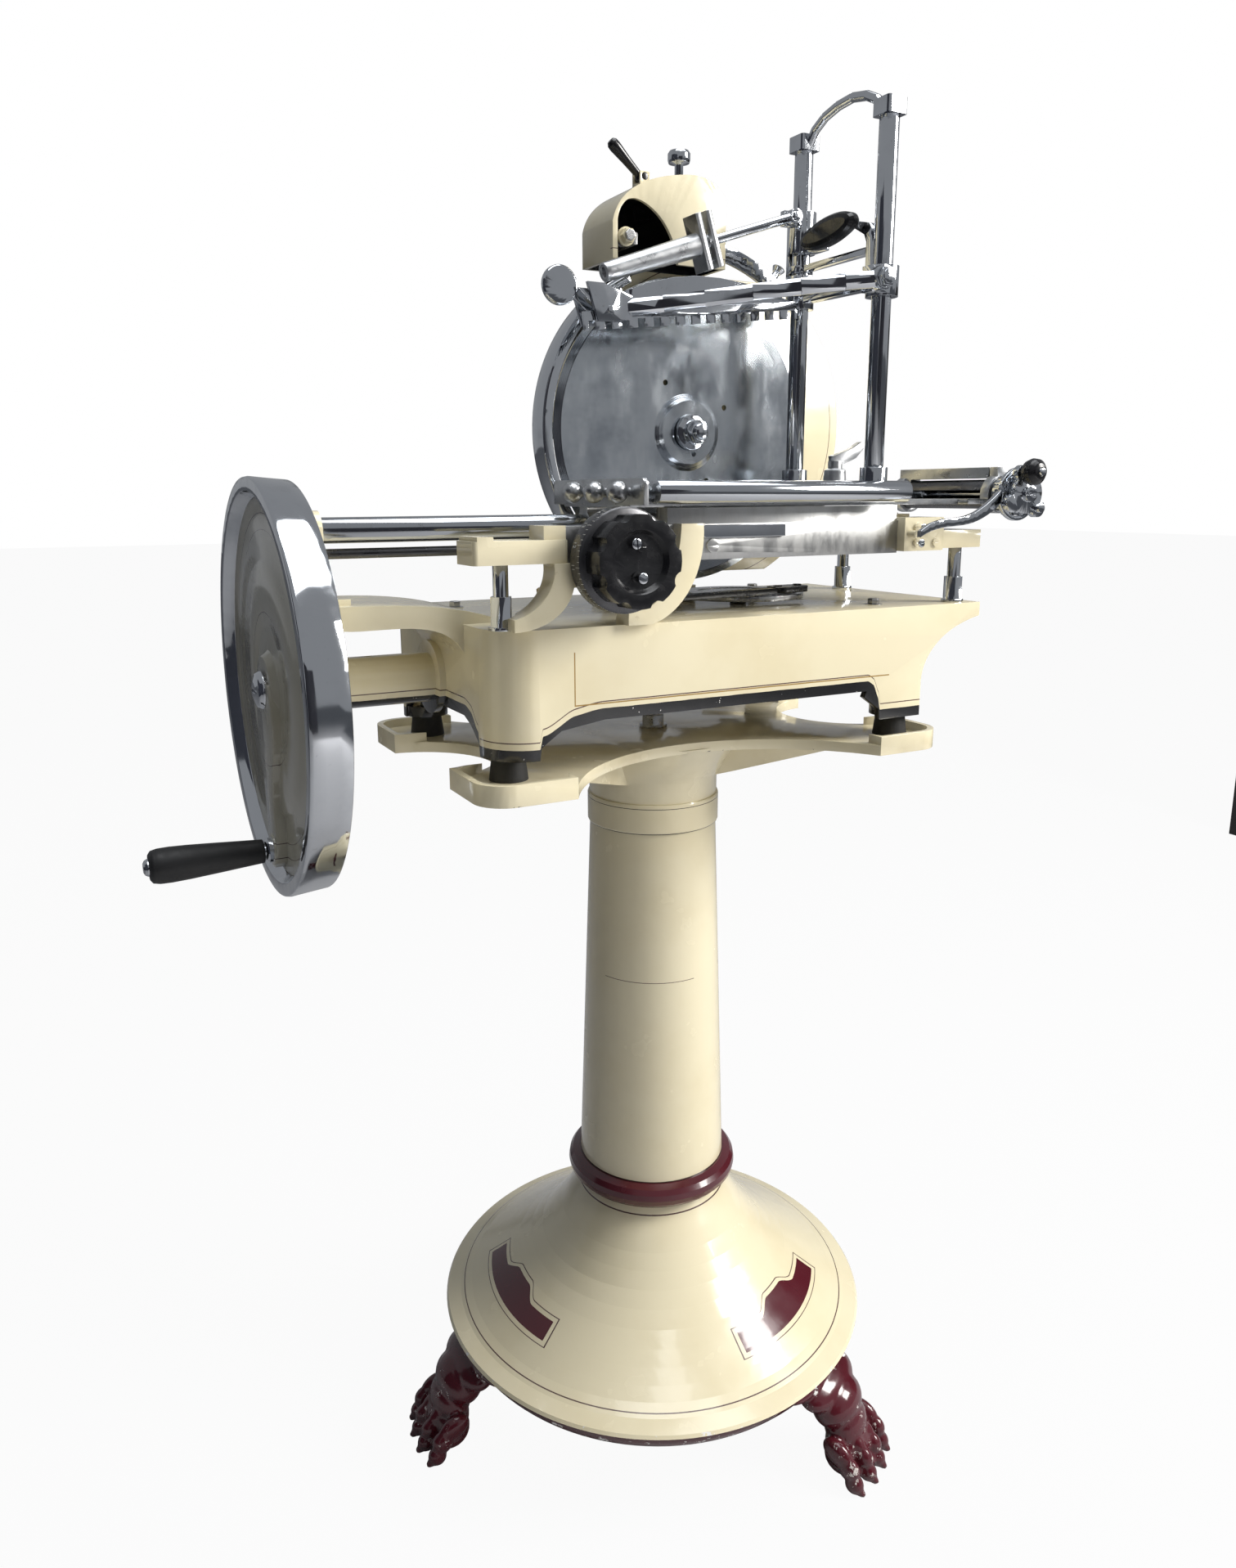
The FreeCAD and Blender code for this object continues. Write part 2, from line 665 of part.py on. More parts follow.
def arc_band(r_in, r_out, a0, a1, y):
    band = Part.makeCylinder(r_out, y[1] - y[0], V(0, 0, 0), Z, a1 - a0)
    band = band.cut(Part.makeCylinder(r_in, y[1] - y[0], V(0, 0, 0), Z, 360))
    band.rotate(V(0, 0, 0), Z, a0)
    band.rotate(V(0, 0, 0), X, 90)
    return moved(band, (blade_x, y[1], blade_z))


def knife_guard():
    band = arc_band(guard_r[0], guard_r[1], 116, 232, (-16, 14))
    lip = arc_band(guard_r[0] - 10, guard_r[1], 116, 232, (10, 14))
    body = band.fuse(lip)
    for a in (140, 180, 220):
        lug = box((-guard_r[0] - 6, -guard_r[0] + 58), (8, cover_y[0]), (-9, 9))
        lug = turned(lug, a - 180, (0, 0, 0), V(0, -1, 0))
        body = body.fuse(moved(lug, (blade_x, 0, blade_z)).cut(box((-400, 400), (-30, 60), (base_top_z - 74, base_top_z + 11))))
    return body


def top_guard():
    arc = arc_band(196, 214, 52, 78, (-16, 12))
    arc = arc.cut(arc_band(190, 209, 50, 80, (-12, 20)))
    foot = arc_band(196, 214, 76, 81, (-16, 12))
    foot = foot.cut(box((0, 78), (-40, 40), (cover_cut_z - 20, cover_cut_z + 80)))
    c, s = math.cos(math.radians(56)), math.sin(math.radians(56))
    boss = rod_between((blade_x + 208 * c, -4, blade_z + 208 * s), (blade_x + 226 * c, -4, blade_z + 226 * s), 5, 4)
    head = rod_between((blade_x + 226 * c, -4, blade_z + 226 * s), (blade_x + 232 * c, -4, blade_z + 232 * s), 5, 8)
    return joined([arc, foot, boss, head])


def hood_runs(inset):
    low = cover_cut_z - (0 if inset == 0 else 2)
    left, right = -68 + inset, 78 - inset
    top = [(left, cover_cut_z + 38 - inset), (left + 14, cover_cut_z + 64 - inset), (-26, cover_cut_z + 82 - inset), (16, cover_cut_z + 93 - inset)]
    top = top + [(54, cover_cut_z + 92 - inset), (right - 6, cover_cut_z + 80 - inset), (right, cover_cut_z + 58 - inset)]
    runs = [[V(left, 0, low), V(left, 0, cover_cut_z + 38 - inset)], [V(a, 0, b) for a, b in top]]
    runs.append([V(right, 0, cover_cut_z + 58 - inset), V(right, 0, low)])
    runs.append([V(right, 0, low), V(left, 0, low)])
    return runs


# Sharpener hood above the blade, open below and at the front left
def sharpener_housing():
    hood = moved(curved_face(hood_runs(0)).extrude(V(0, 74, 0)), (0, -26, 0))
    inner = moved(curved_face(hood_runs(5)).extrude(V(0, 64, 0)), (0, -21, 0))
    hood = hood.cut(inner)
    mouth = [V(-62, 0, cover_cut_z - 12), V(-62, 0, cover_cut_z + 40), V(-42, 0, cover_cut_z + 63), V(-18, 0, cover_cut_z + 55), V(0, 0, cover_cut_z + 38), V(16, 0, cover_cut_z - 12)]
    face = curved_face([[mouth[0], mouth[1]], mouth[1:], [mouth[-1], mouth[0]]])
    hood = hood.cut(moved(face.extrude(V(0, 20, 0)), (0, -35, 0)))
    boss = cyl(10, 10, (-50, -24, cover_cut_z + 24), Y).fuse(hexagon(14, 7, (-50, -31, cover_cut_z + 24), Y))
    bar = box((-66, -34), (-20, 44), (cover_cut_z + 18, cover_cut_z + 30))
    post = cyl(9, 10, (44, 22, cover_cut_z + 86))
    seat = cyl(8, 12, (-14, 8, cover_cut_z + 75))
    ears = box((-20, -8), (-1, 1.4), (cover_cut_z + 76, cover_cut_z + 99))
    ears = ears.fuse(box((-20, -8), (14.6, 17), (cover_cut_z + 76, cover_cut_z + 99)))
    ears = ears.fuse(box((-20, -8), (-1, 17), (cover_cut_z + 76, cover_cut_z + 84)))
    body = joined([hood, boss, bar, post, seat, ears])
    body = body.cut(cyl(4 + run_fit, 30, (-14, -8, cover_cut_z + 94), Y))
    return body.cut(cyl(4 + run_fit, 30, (44, 22, cover_cut_z + 82)))


def sharpener_lever():
    foot = (-14, 8, cover_cut_z + 94)
    tip = (-50, 8, cover_cut_z + 125)
    way = V(*tip) - V(*foot)
    points = [(0, -5), (3.5, -5), (6, -2), (6, 2), (4.2, 5), (5.2, 25), (6.6, 43), (6.3, 48), (4, 51), (0, 51)]
    pin = cyl(4, 18, (foot[0], -1, foot[2]), Y)
    return lathe(points, foot, way.normalize()).fuse(pin)


def sharpener_knob():
    at = (44, 22, cover_cut_z + 97)
    points = [(0, -13), (4, -13), (4, 0), (5, 0), (5, 20), (12, 22), (13, 25), (13, 32), (11, 35), (0, 35)]
    return lathe(points, at)


# Slide ways and their supports
def slide_bar():
    return cyl(bar_r, 729, (-430, bar_y, bar_z), X)


def lower_bar():
    return cyl(5, 728, (-430, bar_y, low_bar_z), X)


def bar_bracket_left():
    body = box((-431, -419), (bar_y - 19, bar_y + 19), (base_top_z + 4, bar_z + 4))
    body = body.fuse(cyl(19, 12, (-431, bar_y, bar_z), X))
    foot = box((-431, -396), (bar_y - 19, bar_y + 19), (base_top_z + 4, arm_top_z + 6))
    body = body.fuse(foot)
    body = body.cut(cyl(bar_r, 40, (-440, bar_y, bar_z), X))
    return body.cut(cyl(5, 40, (-440, bar_y, low_bar_z), X))


def post(x, y, low, high, hex_top):
    foot = cyl(13, 3, (x, y, low))
    nut = hexagon(19, hex_top - low - 3, (x, y, low + 3))
    stem = cyl(7.5, high - hex_top, (x, y, hex_top))
    return joined([foot, nut, stem])


def bracket_left():
    body = box((-310, rail_x[0]), (-207, -160), (rail_z[0] + 2, rail_z[0] + 24))
    body = rounded(body, 5, upright_edge)
    lip = box((-306, -290), (-207, -160), (rail_z[0] + 15, rail_z[0] + 28))
    step = box((-236, rail_x[0]), (-200, -166), (rail_z[0] + 24, rail_z[0] + 37))
    return joined([body, lip, step])


def bracket_right():
    block = box((rail_x[1], 262), (-207, -165), (rail_z[0] + 2, rail_z[1] + 3))
    front = box((rail_x[1], 322), (-205, -150), (rail_z[0] + 4, rail_z[0] + 24))
    bridge = box((306, 334), (-150, 56), (rail_z[0] + 4, rail_z[0] + 22))
    web = box((286, 306), (bar_y - 22, bar_y + 22), (rail_z[0] + 4, rail_z[0] + 41))
    body = joined([block, front, bridge, web])
    for x, z in ((222, rail_z[0] + 28), (222, rail_z[0] + 11), (250, rail_z[0] + 11)):
        body = body.fuse(screw_head(x, -207, z))
    body = body.fuse(cyl(4, 12, (212, -218, rail_z[0] + 21), Y))
    body = body.cut(cyl(bar_r, 60, (280, bar_y, bar_z), X))
    return body.cut(cyl(5, 60, (280, bar_y, low_bar_z), X))


def screw_head(x, y, z):
    head = cyl(5, 2.6, (x, y - 2.5, z), Y)
    return head.cut(box((x - 6, x + 6), (y - 3, y - 1.4), (z - 0.7, z + 0.7)))


def front_rail():
    plate = box(rail_x, rail_y, rail_z)
    strip = box((-96, rail_x[1]), (-192, -176), (rail_z[1], deck_z[0] - air))
    plug = cyl(7, 4, (-44, rail_y[0] - 2, rail_z[0] + 14), Y)
    plug = plug.cut(box((-52, -36), (-200, -196), (rail_z[0] + 13, rail_z[0] + 15)))
    rail = joined([plate, strip, plug])
    return rail.cut(cyl(8 + run_fit, 80, (dial_x, -240, dial_z), Y))


# The two curved cheeks that carry the thickness dial
def dial_bracket():
    body = cheek(0).fuse(cheek(1))
    bridge = box((dial_x - 50, rail_x[0] + 125), (-190, -174), (rail_z[0] - 23, rail_z[0]))
    boss = cyl(20, 34, (dial_x, -200, dial_z), Y)
    body = joined([body, bridge, boss])
    body = body.cut(box((rail_x[0], 300), rail_y, (rail_z[0], rail_z[0] + 165)))
    body = body.cut(box((-320, rail_x[0]), (-207, -160), (rail_z[0] + 2, rail_z[0] + 65)))
    body = body.cut(box((-320, 0), (-230, -150), (base_top_z - 20, base_top_z)))
    body = body.cut(cyl(13.6, 60, (left_post[0], left_post[1], base_top_z)))
    return body.cut(cyl(8 + run_fit, 80, (dial_x, -240, dial_z), Y))


def cheek(which):
    low, high = base_top_z, rail_z[0]
    if which == 0:
        outer = [(-212, high + 2), (-210, high - 23), (-222, low + 18), (-246, low + 4), (-272, low)]
        inner = [(-272, low + 12), (-252, low + 20), (-236, high - 25), (-230, high + 2)]
    else:
        outer = [(-64, high + 37), (-68, high - 3), (-86, low + 24), (-108, low + 6), (-150, low)]
        inner = [(-150, low + 14), (-112, low + 28), (-96, high - 3), (-90, high + 37)]
    outer = [V(a, 0, b) for a, b in outer]
    inner = [V(a, 0, b) for a, b in inner]
    runs = [outer, [outer[-1], inner[0]], inner, [inner[-1], outer[0]]]
    return moved(curved_face(runs).extrude(V(0, 26, 0)), (0, -210, 0))


def dial_drum():
    y0 = -234.0
    drum = lathe([(0, 0), (dial_r - 3, 0), (dial_r, 2), (dial_r, 20), (dial_r - 2, 21), (0, 21)],
                 (dial_x, y0, dial_z), Y)
    shaft = cyl(8, 76, (dial_x, y0, dial_z), Y)
    end = cyl(13, 6, (dial_x, y0 + 70, dial_z), Y)
    return joined([drum, shaft, end])


def index_knob():
    y0 = -262.0
    body = cyl(knob_r, 28, (dial_x, y0, dial_z), Y)
    for i in range(8):
        a = math.radians(45 * i + 22.5)
        spot = (dial_x + (knob_r + 5) * math.cos(a), y0 - 1, dial_z + (knob_r + 5) * math.sin(a))
        body = body.cut(cyl(9, 40, spot, Y))
    dish = lathe([(0, -1), (31, -1), (26, 5), (0, 5)], (dial_x, y0, dial_z), Y)
    body = body.cut(dish)
    for dz in (14.0, -14.0):
        head = cyl(5, 7, (dial_x + dz * 0.2, y0 + 3.6, dial_z + dz), Y)
        slot = box((dial_x - 12, dial_x + 12), (y0 + 3, y0 + 4.8), (dial_z + dz - 0.7, dial_z + dz + 0.7))
        body = body.fuse(head.cut(slot))
    return body


# Carriage that runs on the slide bar and the front rail
def carriage():
    deck = box((end_x, feed_x - 14), (-188, -40), deck_z)
    deck = deck.cut(box((-60, 120), (-160, -100), (deck_z[0] - 8, deck_z[1] + 6)))
    body = deck
    for x in (-134.0, 140.0):
        body = body.fuse(cyl(16.6, 44, (x, bar_y, bar_z), X))
        body = body.fuse(box((x, x + 44), (bar_y - 9, bar_y + 9), (bar_z, deck_z[0] + 1)))
    for y in (-204.0, -52.0):
        body = body.fuse(cyl(tube_r + 5, 12, (feed_x, y, feed_z), Y))
    arm = box((300, feed_x - 8), (-204, -188), deck_z)
    lug = cyl(9, deck_z[0] - link_z - 7, (lug_x, lug_y, link_z + 7))
    pin = cyl(6, 30, (lug_x, lug_y, link_z - 2))
    cap = cyl(10, 2, (lug_x, lug_y, link_z - 3))
    plate = box((lug_x - 16, lug_x + 16), (-166, lug_y + 10), deck_z)
    stop = box((feed_x - 8, feed_x + 8), (-190, -40), (feed_z + 18.5, feed_z + 31))
    stop = stop.fuse(box((feed_x - 8, feed_x + 8), (-60, -40), (feed_z + 11, feed_z + 19)))
    stop = stop.fuse(box((feed_x - 8, feed_x + 8), (-204, -192), (feed_z + 11, feed_z + 31)))
    body = joined([body, arm, lug, pin, cap, plate, stop])
    body = body.cut(cyl(bar_r + slide_fit, 500, (-200, bar_y, bar_z), X))
    return body.cut(cyl(tube_r, 400, (feed_x, -300, feed_z), Y))


def end_plate():
    plate = box((end_x - 5, end_x), (-226, -24), (deck_z[0] + 2.5, table_z[1] + 2))
    plate = rounded(plate, 6, lambda e: e.BoundBox.XLength > 4 and e.BoundBox.ZMin > table_z[1] - 4)
    for y in (-196.0, -146.0, -98.0):
        knob = [(0, 0.6), (4, 0.6), (8.1, 3.5), (10.4, 7.3), (11, 11), (10.2, 15), (7.8, 18.8), (5, 20.8)]
        plate = plate.fuse(lathe(knob + [(5, 26), (0, 26)], (end_x - 29, y, feed_z + 4), X))
    return plate


# Table top with its rolled front edge and the rod sockets
def meat_table():
    top = box(table_x, (-212, table_y[1]), table_z)
    roll = moved(Part.makeCylinder(11.4, table_x[1] - table_x[0], V(0, 0, 0), X), (table_x[0], -218, table_z[0] - 3.4))
    skirt = box(table_x, (-214, -206), (table_z[0] - 10, table_z[0] + 4))
    rear = box(table_x, (-32, table_y[1]), (table_z[0] - 10, table_z[0] + 4))
    side = box((table_x[0], table_x[0] + 6), (-212, -30), (table_z[0] - 10, table_z[0] + 4))
    arm = box((table_x[1] - 40, feed_x - 9), (-86, -66), (feed_z - 3.6, feed_z + 3.6))
    nut = cyl(13, 24, (feed_x, -88, feed_z), Y)
    root = box((table_x[1] - 40, table_x[1] - 8), (-86, -66), (table_z[0] - 10, table_z[0] + 2))
    parts = [top, roll, skirt, rear, side, root, arm, nut]
    for y in (rod_front_y, rod_back_y):
        parts.append(cyl(15, socket_top_z - table_z[0], (rod_x, y, table_z[0])))
    body = joined(parts)
    for y in (rod_front_y, rod_back_y):
        body = body.cut(cyl(rod_r, 40, (rod_x, y, table_z[0] + 1)))
    body = body.cut(cyl(4 + run_fit, 30, (rod_x - 2, -140, table_z[0] - 10)))
    return body.cut(cyl(screw_r + slide_fit, 60, (feed_x, -100, feed_z), Y))


def feed_tube():
    body = tube(tube_r, tube_r - 2.5, 168, (feed_x, -206, feed_z), Y)
    slot = box((feed_x - 40, feed_x), (-196, -56), (feed_z - 4.6, feed_z + 4.6))
    return body.cut(slot)


# Feed screw with its knurled collar and three-armed crank plate
def feed_crank():
    screw = cyl(screw_r, 196, (feed_x, -238, feed_z), Y)
    collar = cyl(14.2, 6, (feed_x, -204.5, feed_z), Y)
    knurl = cyl(24, 20, (feed_x, -232, feed_z), Y)
    for i in range(16):
        a = math.radians(22.5 * i)
        spot = (feed_x + 24 * math.cos(a), -233, feed_z + 24 * math.sin(a))
        knurl = knurl.cut(cyl(2.2, 30, spot, Y))
    ring = cyl(19, 5, (feed_x, -212, feed_z), Y)
    plate = cyl(22, 8, (feed_x, -244, feed_z), Y)
    arms = []
    for a in (112.0, 318.0, 205.0):
        c, s = math.cos(math.radians(a)), math.sin(math.radians(a))
        arms.append(cyl(10, 8, (feed_x + 24 * c, -244, feed_z + 24 * s), Y))
    centre = cyl(9, 6, (feed_x, -249, feed_z), Y)
    centre = centre.cut(box((feed_x - 10, feed_x + 10), (-250, -247.5), (feed_z - 1, feed_z + 1)))
    small = cyl(5, 6, (feed_x + 24 * math.cos(math.radians(318)), -249, feed_z + 24 * math.sin(math.radians(318))), Y)
    a = math.radians(112)
    stud = cyl(4, 30, (feed_x + 26 * math.cos(a), -272, feed_z + 26 * math.sin(a)), Y)
    return joined([screw, collar, knurl, ring, plate, centre, small, stud] + arms)


def feed_knob():
    a = math.radians(112)
    at = (feed_x + 26 * math.cos(a), -269.5, feed_z + 26 * math.sin(a))
    body = lathe([(4 + run_fit, 0), (9, 1), (14, 6), (15, 12), (13, 18), (9, 22), (4 + run_fit, 23)], at, Y)
    return body


def feed_pawl():
    a = [V(feed_x - 26, 0, feed_z + 7), V(306, 0, feed_z - 9), V(276, 0, feed_z - 23), V(240, 0, feed_z - 27), V(206, 0, feed_z - 39)]
    b = [V(206, 0, feed_z - 46), V(240, 0, feed_z - 36), V(280, 0, feed_z - 32), V(312, 0, feed_z - 19), V(feed_x - 26, 0, feed_z - 9)]
    face = curved_face([a, [a[-1], b[0]], b, [b[-1], a[0]]])
    body = moved(face.extrude(V(0, 6, 0)), (0, -230.5, 0))
    ring = cyl(30, 5, (feed_x, -230, feed_z), Y).cut(cyl(24 + air, 20, (feed_x, -240, feed_z), Y))
    return ring.fuse(body).cut(cyl(24 + air, 20, (feed_x, -240, feed_z), Y))


def table_lever():
    foot = lathe([(0, -8), (4, -8), (4, 0), (13, 0), (12, 12), (8, 14), (8, 22), (0, 22)], (rod_x - 2, -140, table_z[1] + 0.4))
    arm = slab_xz([(-4, 0), (26, 12), (38, 24), (34, 30), (20, 22), (-6, 14)], (-5, 5))
    return foot.fuse(moved(arm, (rod_x - 2, -140, table_z[1] + 14)))


# Uprights, arch bar and meat clamp
def upright(y):
    return cyl(rod_r, rod_top_z - table_z[0] - 1, (rod_x, y, table_z[0] + 1))


def arch_bar():
    caps = []
    for y in (rod_front_y, rod_back_y):
        z = rod_top_z - 4
        cap = box((rod_x - 13, rod_x + 13), (y - 13, y + 13), (z, z + 16))
        caps.append(rounded(cap, 4, upright_edge).cut(cyl(rod_r, 4, (rod_x, y, z))))
    z0 = rod_top_z
    line = [(rod_back_y - 9, z0 + 2), (rod_back_y - 19, z0 + 14), (rod_back_y - 36, z0 + 23)]
    line = line + [(rod_back_y - 58, z0 + 28), (rod_back_y - 82, z0 + 29.5), (rod_back_y - 105, z0 + 25)]
    line = line + [(rod_front_y + 20, z0 + 17), (rod_front_y + 8, z0 + 6)]
    bar = bent_rod([(rod_x, y, z) for y, z in line], 5)
    return joined([caps[0], caps[1], bar]).cut(joined([upright(rod_front_y), upright(rod_back_y)]))


# A rod of straight runs with a ball at each bend
def bent_rod(line, r):
    body = rod_between(line[0], line[1], r, r)
    for i in range(1, len(line) - 1):
        body = body.fuse(ball(r, line[i]))
        body = body.fuse(rod_between(line[i], line[i + 1], r, r))
    return body


def clamp_carrier():
    fit = rod_r + slide_fit
    sleeve = cyl(16, 44, (rod_x, rod_back_y, arm_z + 52))
    low = cyl(16, 36, (rod_x, rod_back_y, arm_z - 8))
    spine = box((rod_x - 8, rod_x + 8), (rod_back_y + 11, rod_back_y + 17), (arm_z - 4, arm_z + 84))
    guide = cyl(17, 30, (rod_x, rod_front_y, arm_z - 14))
    hook = slab_yz([(-194, arm_z - 4), (-194, arm_z + 50), (-186, arm_z + 62), (-164, arm_z + 68), (-160, arm_z + 62), (-178, arm_z + 52),
                    (-182, arm_z + 44), (-182, arm_z + 12), (-76, arm_z + 12), (-76, arm_z - 2), (-182, arm_z - 4)], (rod_x - 6, rod_x + 6))
    rail = box((rod_x - 5, rod_x + 5), (-180, rod_back_y), (arm_z + 32, arm_z + 39))
    low2 = cyl(14, 8, (rod_x, rod_back_y, arm_z + 31))
    stud = cyl(7, 24, (arm_x, -240, arm_z), Y)
    nut = hexagon(17, 6, (arm_x, -239, arm_z), Y)
    block = box((arm_x - 5, rod_x + 4), (-219.5, rod_front_y), (arm_z - 12, arm_z + 14))
    lug = box((127, rod_x - 8), (rod_back_y - 9, rod_back_y - 1), (arm_z + 79, arm_z + 95))
    ear = box((rod_x - 4, rod_x + 6), (-105, rod_back_y - 13), (arm_z + 50, arm_z + 66))
    body = joined([sleeve, low, spine, guide, hook, rail, low2, stud, nut, block, lug, ear])
    for y in (rod_front_y, rod_back_y):
        body = body.cut(cyl(fit, 400, (rod_x, y, arm_z - 116)))
    body = body.cut(cyl(2.5 + run_fit, 40, (rod_x - 10, -96, arm_z + 58), X))
    eye = cyl(4, 20, (133, rod_back_y - 25, arm_z + 87), Y)
    return body.fuse(eye)


def lock_grip():
    sections = []
    for x, along_y, high in ((-8, 36, 8), (-6.5, 42, 12.5), (-3, 45, 15), (3, 45, 15), (6.5, 42, 12.5), (8, 36, 8)):
        oval = Part.Wire(Part.Ellipse(V(0, 0, 0), along_y, high).toShape())
        oval.rotate(V(0, 0, 0), X, 90)
        oval.rotate(V(0, 0, 0), Z, 90)
        sections.append(moved(oval, (x, 0, 0)))
    grip = Part.makeLoft(sections, True, True)
    grip = turned(grip, -6, (0, 0, 0), X)
    grip = moved(grip, (rod_x - 18, -134, arm_z + 62))
    arm = cyl(5, 7, (rod_x - 12, -96, arm_z + 58), X)
    pin = cyl(2.5, 21, (rod_x - 12, -96, arm_z + 58), X)
    return joined([grip, arm, pin])


def tilted(shape):
    return turned(shape, arm_tilt, (arm_x, 0, arm_z), Y)


# Main clamp arm, drawn level and then tilted as it stands in the photograph
def level_arm():
    boss = cyl(12, 12, (arm_x, -232.5, arm_z), Y)
    line = [(arm_x - 4, -226.5), (98, -215), (58, -195), (18, -168), (-20, -137), (-56, -112), (-90, -96)]
    bar = None
    for i in range(len(line) - 1):
        run = flat_run(line[i], line[i + 1], arm_z - 1 - 0.3 * i)
        bar = run if bar is None else bar.fuse(run)
    fork = slab_xz([(-86, arm_z - 8), (-86, arm_z + 8), (-100, arm_z + 14), (-118, arm_z + 22),
                    (-136, arm_z + 24), (-128, arm_z - 14), (-104, arm_z - 16)], (-101, -96))
    other = moved(fork, (0, 36, 0))
    pin = cyl(4, 42, (-112, -102, arm_z - 4), Y)
    tie = box((-100, -88), (-101, -60), (arm_z - 15, arm_z - 9))
    body = joined([boss, bar, fork, other, pin, tie])
    return body.cut(cyl(7 + run_fit, 60, (arm_x, -260, arm_z), Y))


def main_arm():
    return tilted(level_arm())


# One straight run of the arm, an eight-sided bar standing on edge
def flat_run(a, b, z):
    run = V(b[0] - a[0], b[1] - a[1], 0)
    side = V(-run.y, run.x, 0).normalize()
    points = []
    for wide, high in ((2.6, 8), (5.5, 4.4), (5.5, -4.4), (2.6, -8), (-2.6, -8), (-5.5, -4.4), (-5.5, 4.4), (-2.6, 8)):
        points.append(V(a[0], a[1], z) + side * wide + V(0, 0, high))
    body = closed(points).extrude(run)
    return body.fuse(cyl(5.5, 8.8, (b[0], b[1], z - 4.4)))


def press_plate():
    low = arm_z - 8
    top = [V(-142, 0, low + 3), V(-120, 0, low + 12), V(-90, 0, low + 22), V(-60, 0, low + 30), V(-30, 0, low + 34)]
    top = top + [V(0, 0, low + 35), V(30, 0, low + 32), V(60, 0, low + 26), V(95, 0, low + 15), V(128, 0, low + 3)]
    shoe = slab_xz([(p.x, p.z) for p in top] + [(128, low), (-142, low)], (-92, -66))
    room = box((-150, -84), (-110, -40), (low - 1, low + 60))
    shoe = shoe.cut(room)
    comb = box((-142, 128), (-95, -92), (low - 14, low + 4))
    for i in range(14):
        x = -136.5 + 19.4 * i
        comb = comb.cut(box((x, x + 9), (-99, -90), (low - 20, low - 5)))
    return tilted(shoe.fuse(comb).cut(level_arm()))


def thumb_lever():
    disc = lathe([(0, 0), (18, 0), (19.5, 2), (19.5, 6), (18, 8), (0, 8)], (-158, -84, arm_z + 24), Y)
    neck = slab_xz([(-146, arm_z + 12), (-138, arm_z + 20), (-124, arm_z + 4), (-112, arm_z + 4),
                    (-104, arm_z - 4), (-112, arm_z - 12), (-124, arm_z - 8)], (-84, -78))
    body = disc.fuse(neck).cut(cyl(4 + run_fit, 40, (-112, -110, arm_z - 4), Y))
    return tilted(body)


def telescope_points():
    return V(-108, clamp_y, arm_z + 9), V(133, clamp_y, arm_z + 87)


def along(t):
    a, b = telescope_points()
    return a + (b - a) * t


def push_sleeve():
    a, b = telescope_points()
    way = (b - a).normalize()
    start = a
    body = Part.makeCone(9.5, 12.5, 122, start, way)
    plates = []
    for d in (118, 132):
        one = Part.makeBox(58, 26, 7, V(-30, -13, 0))
        one.Placement = FreeCAD.Placement(start + way * d, FreeCAD.Rotation(Z, way))
        plates.append(one)
    neck = Part.makeCylinder(8, 20, start + way * 116, way)
    body = joined([body, neck] + plates)
    return body.cut(Part.makeCylinder(5 + slide_fit, 400, start - way * 20, way))


def push_rod():
    a, b = telescope_points()
    way = (b - a).normalize()
    rod = Part.makeCylinder(5, 234, b - way * 240, way)
    eye = cyl(8, 10, (b.x, clamp_y - 5, b.z), Y)
    return rod.fuse(eye).cut(cyl(4 + run_fit, 40, (b.x, clamp_y - 20, b.z), Y))


def build_pedestal():
    save("pedestal_foot", pedestal_foot())
    save("foot_skirt", foot_skirt())
    save("collar_ring", collar_ring())
    save("pedestal_column", pedestal_column().fuse(column_band()))
    save("table_spider", table_spider())
    save("base_bolt", base_bolt())


def build_base():
    count = 1
    for x, y in feet:
        save("rubber_foot_" + str(count), rubber_foot(x, y))
        count = count + 1
    save("base_casting", joined([base_casting(), shaft_housing(), bar_bracket_left()]))


def build_drive():
    save("flywheel_rim", flywheel_rim())
    save("flywheel_web", flywheel_web())
    save("flywheel_cap", flywheel_cap())
    save("crank_spindle", crank_spindle())
    save("crank_grip", crank_grip())
    save("main_shaft", main_shaft())
    save("cross_shaft", cross_shaft())
    save("drive_chain", drive_chain())
    save("crank_disc", crank_disc())
    save("drive_link", drive_link())


def build_head():
    save("blade_standard", blade_standard())
    save("rear_cover", rear_cover())
    save("blade_shaft", blade_shaft())
    save("knife_blade", knife_blade())
    save("blade_nut", blade_nut())
    save("knife_guard", knife_guard())
    save("top_guard", top_guard())
    save("sharpener_housing", sharpener_housing())
    save("sharpener_lever", sharpener_lever())
    save("sharpener_knob", sharpener_knob())


def build_ways():
    save("slide_bar", slide_bar())
    save("lower_bar", lower_bar())
    save("post_front_left", post(left_post[0], left_post[1], base_top_z, rail_z[0] + 2, rail_z[0] - 29))
    save("post_front_right", post(right_post[0], right_post[1], base_top_z, rail_z[0] + 4, rail_z[0] - 31))
    save("post_back_right", post(back_post[0], back_post[1], base_top_z, rail_z[0] + 4, rail_z[0] - 31))
    save("bracket_left", bracket_left())
    save("bracket_right", bracket_right())
    save("front_rail", front_rail())
    save("dial_bracket", dial_bracket())
    save("dial_drum", dial_drum())
    save("index_knob", index_knob())


def build_carriage():
    save("carriage", carriage())
    save("end_plate", end_plate())
    save("meat_table", meat_table())
    save("feed_tube", feed_tube())
    save("feed_crank", feed_crank())
    save("feed_knob", feed_knob())
    save("feed_pawl", feed_pawl())
    save("table_lever", table_lever())


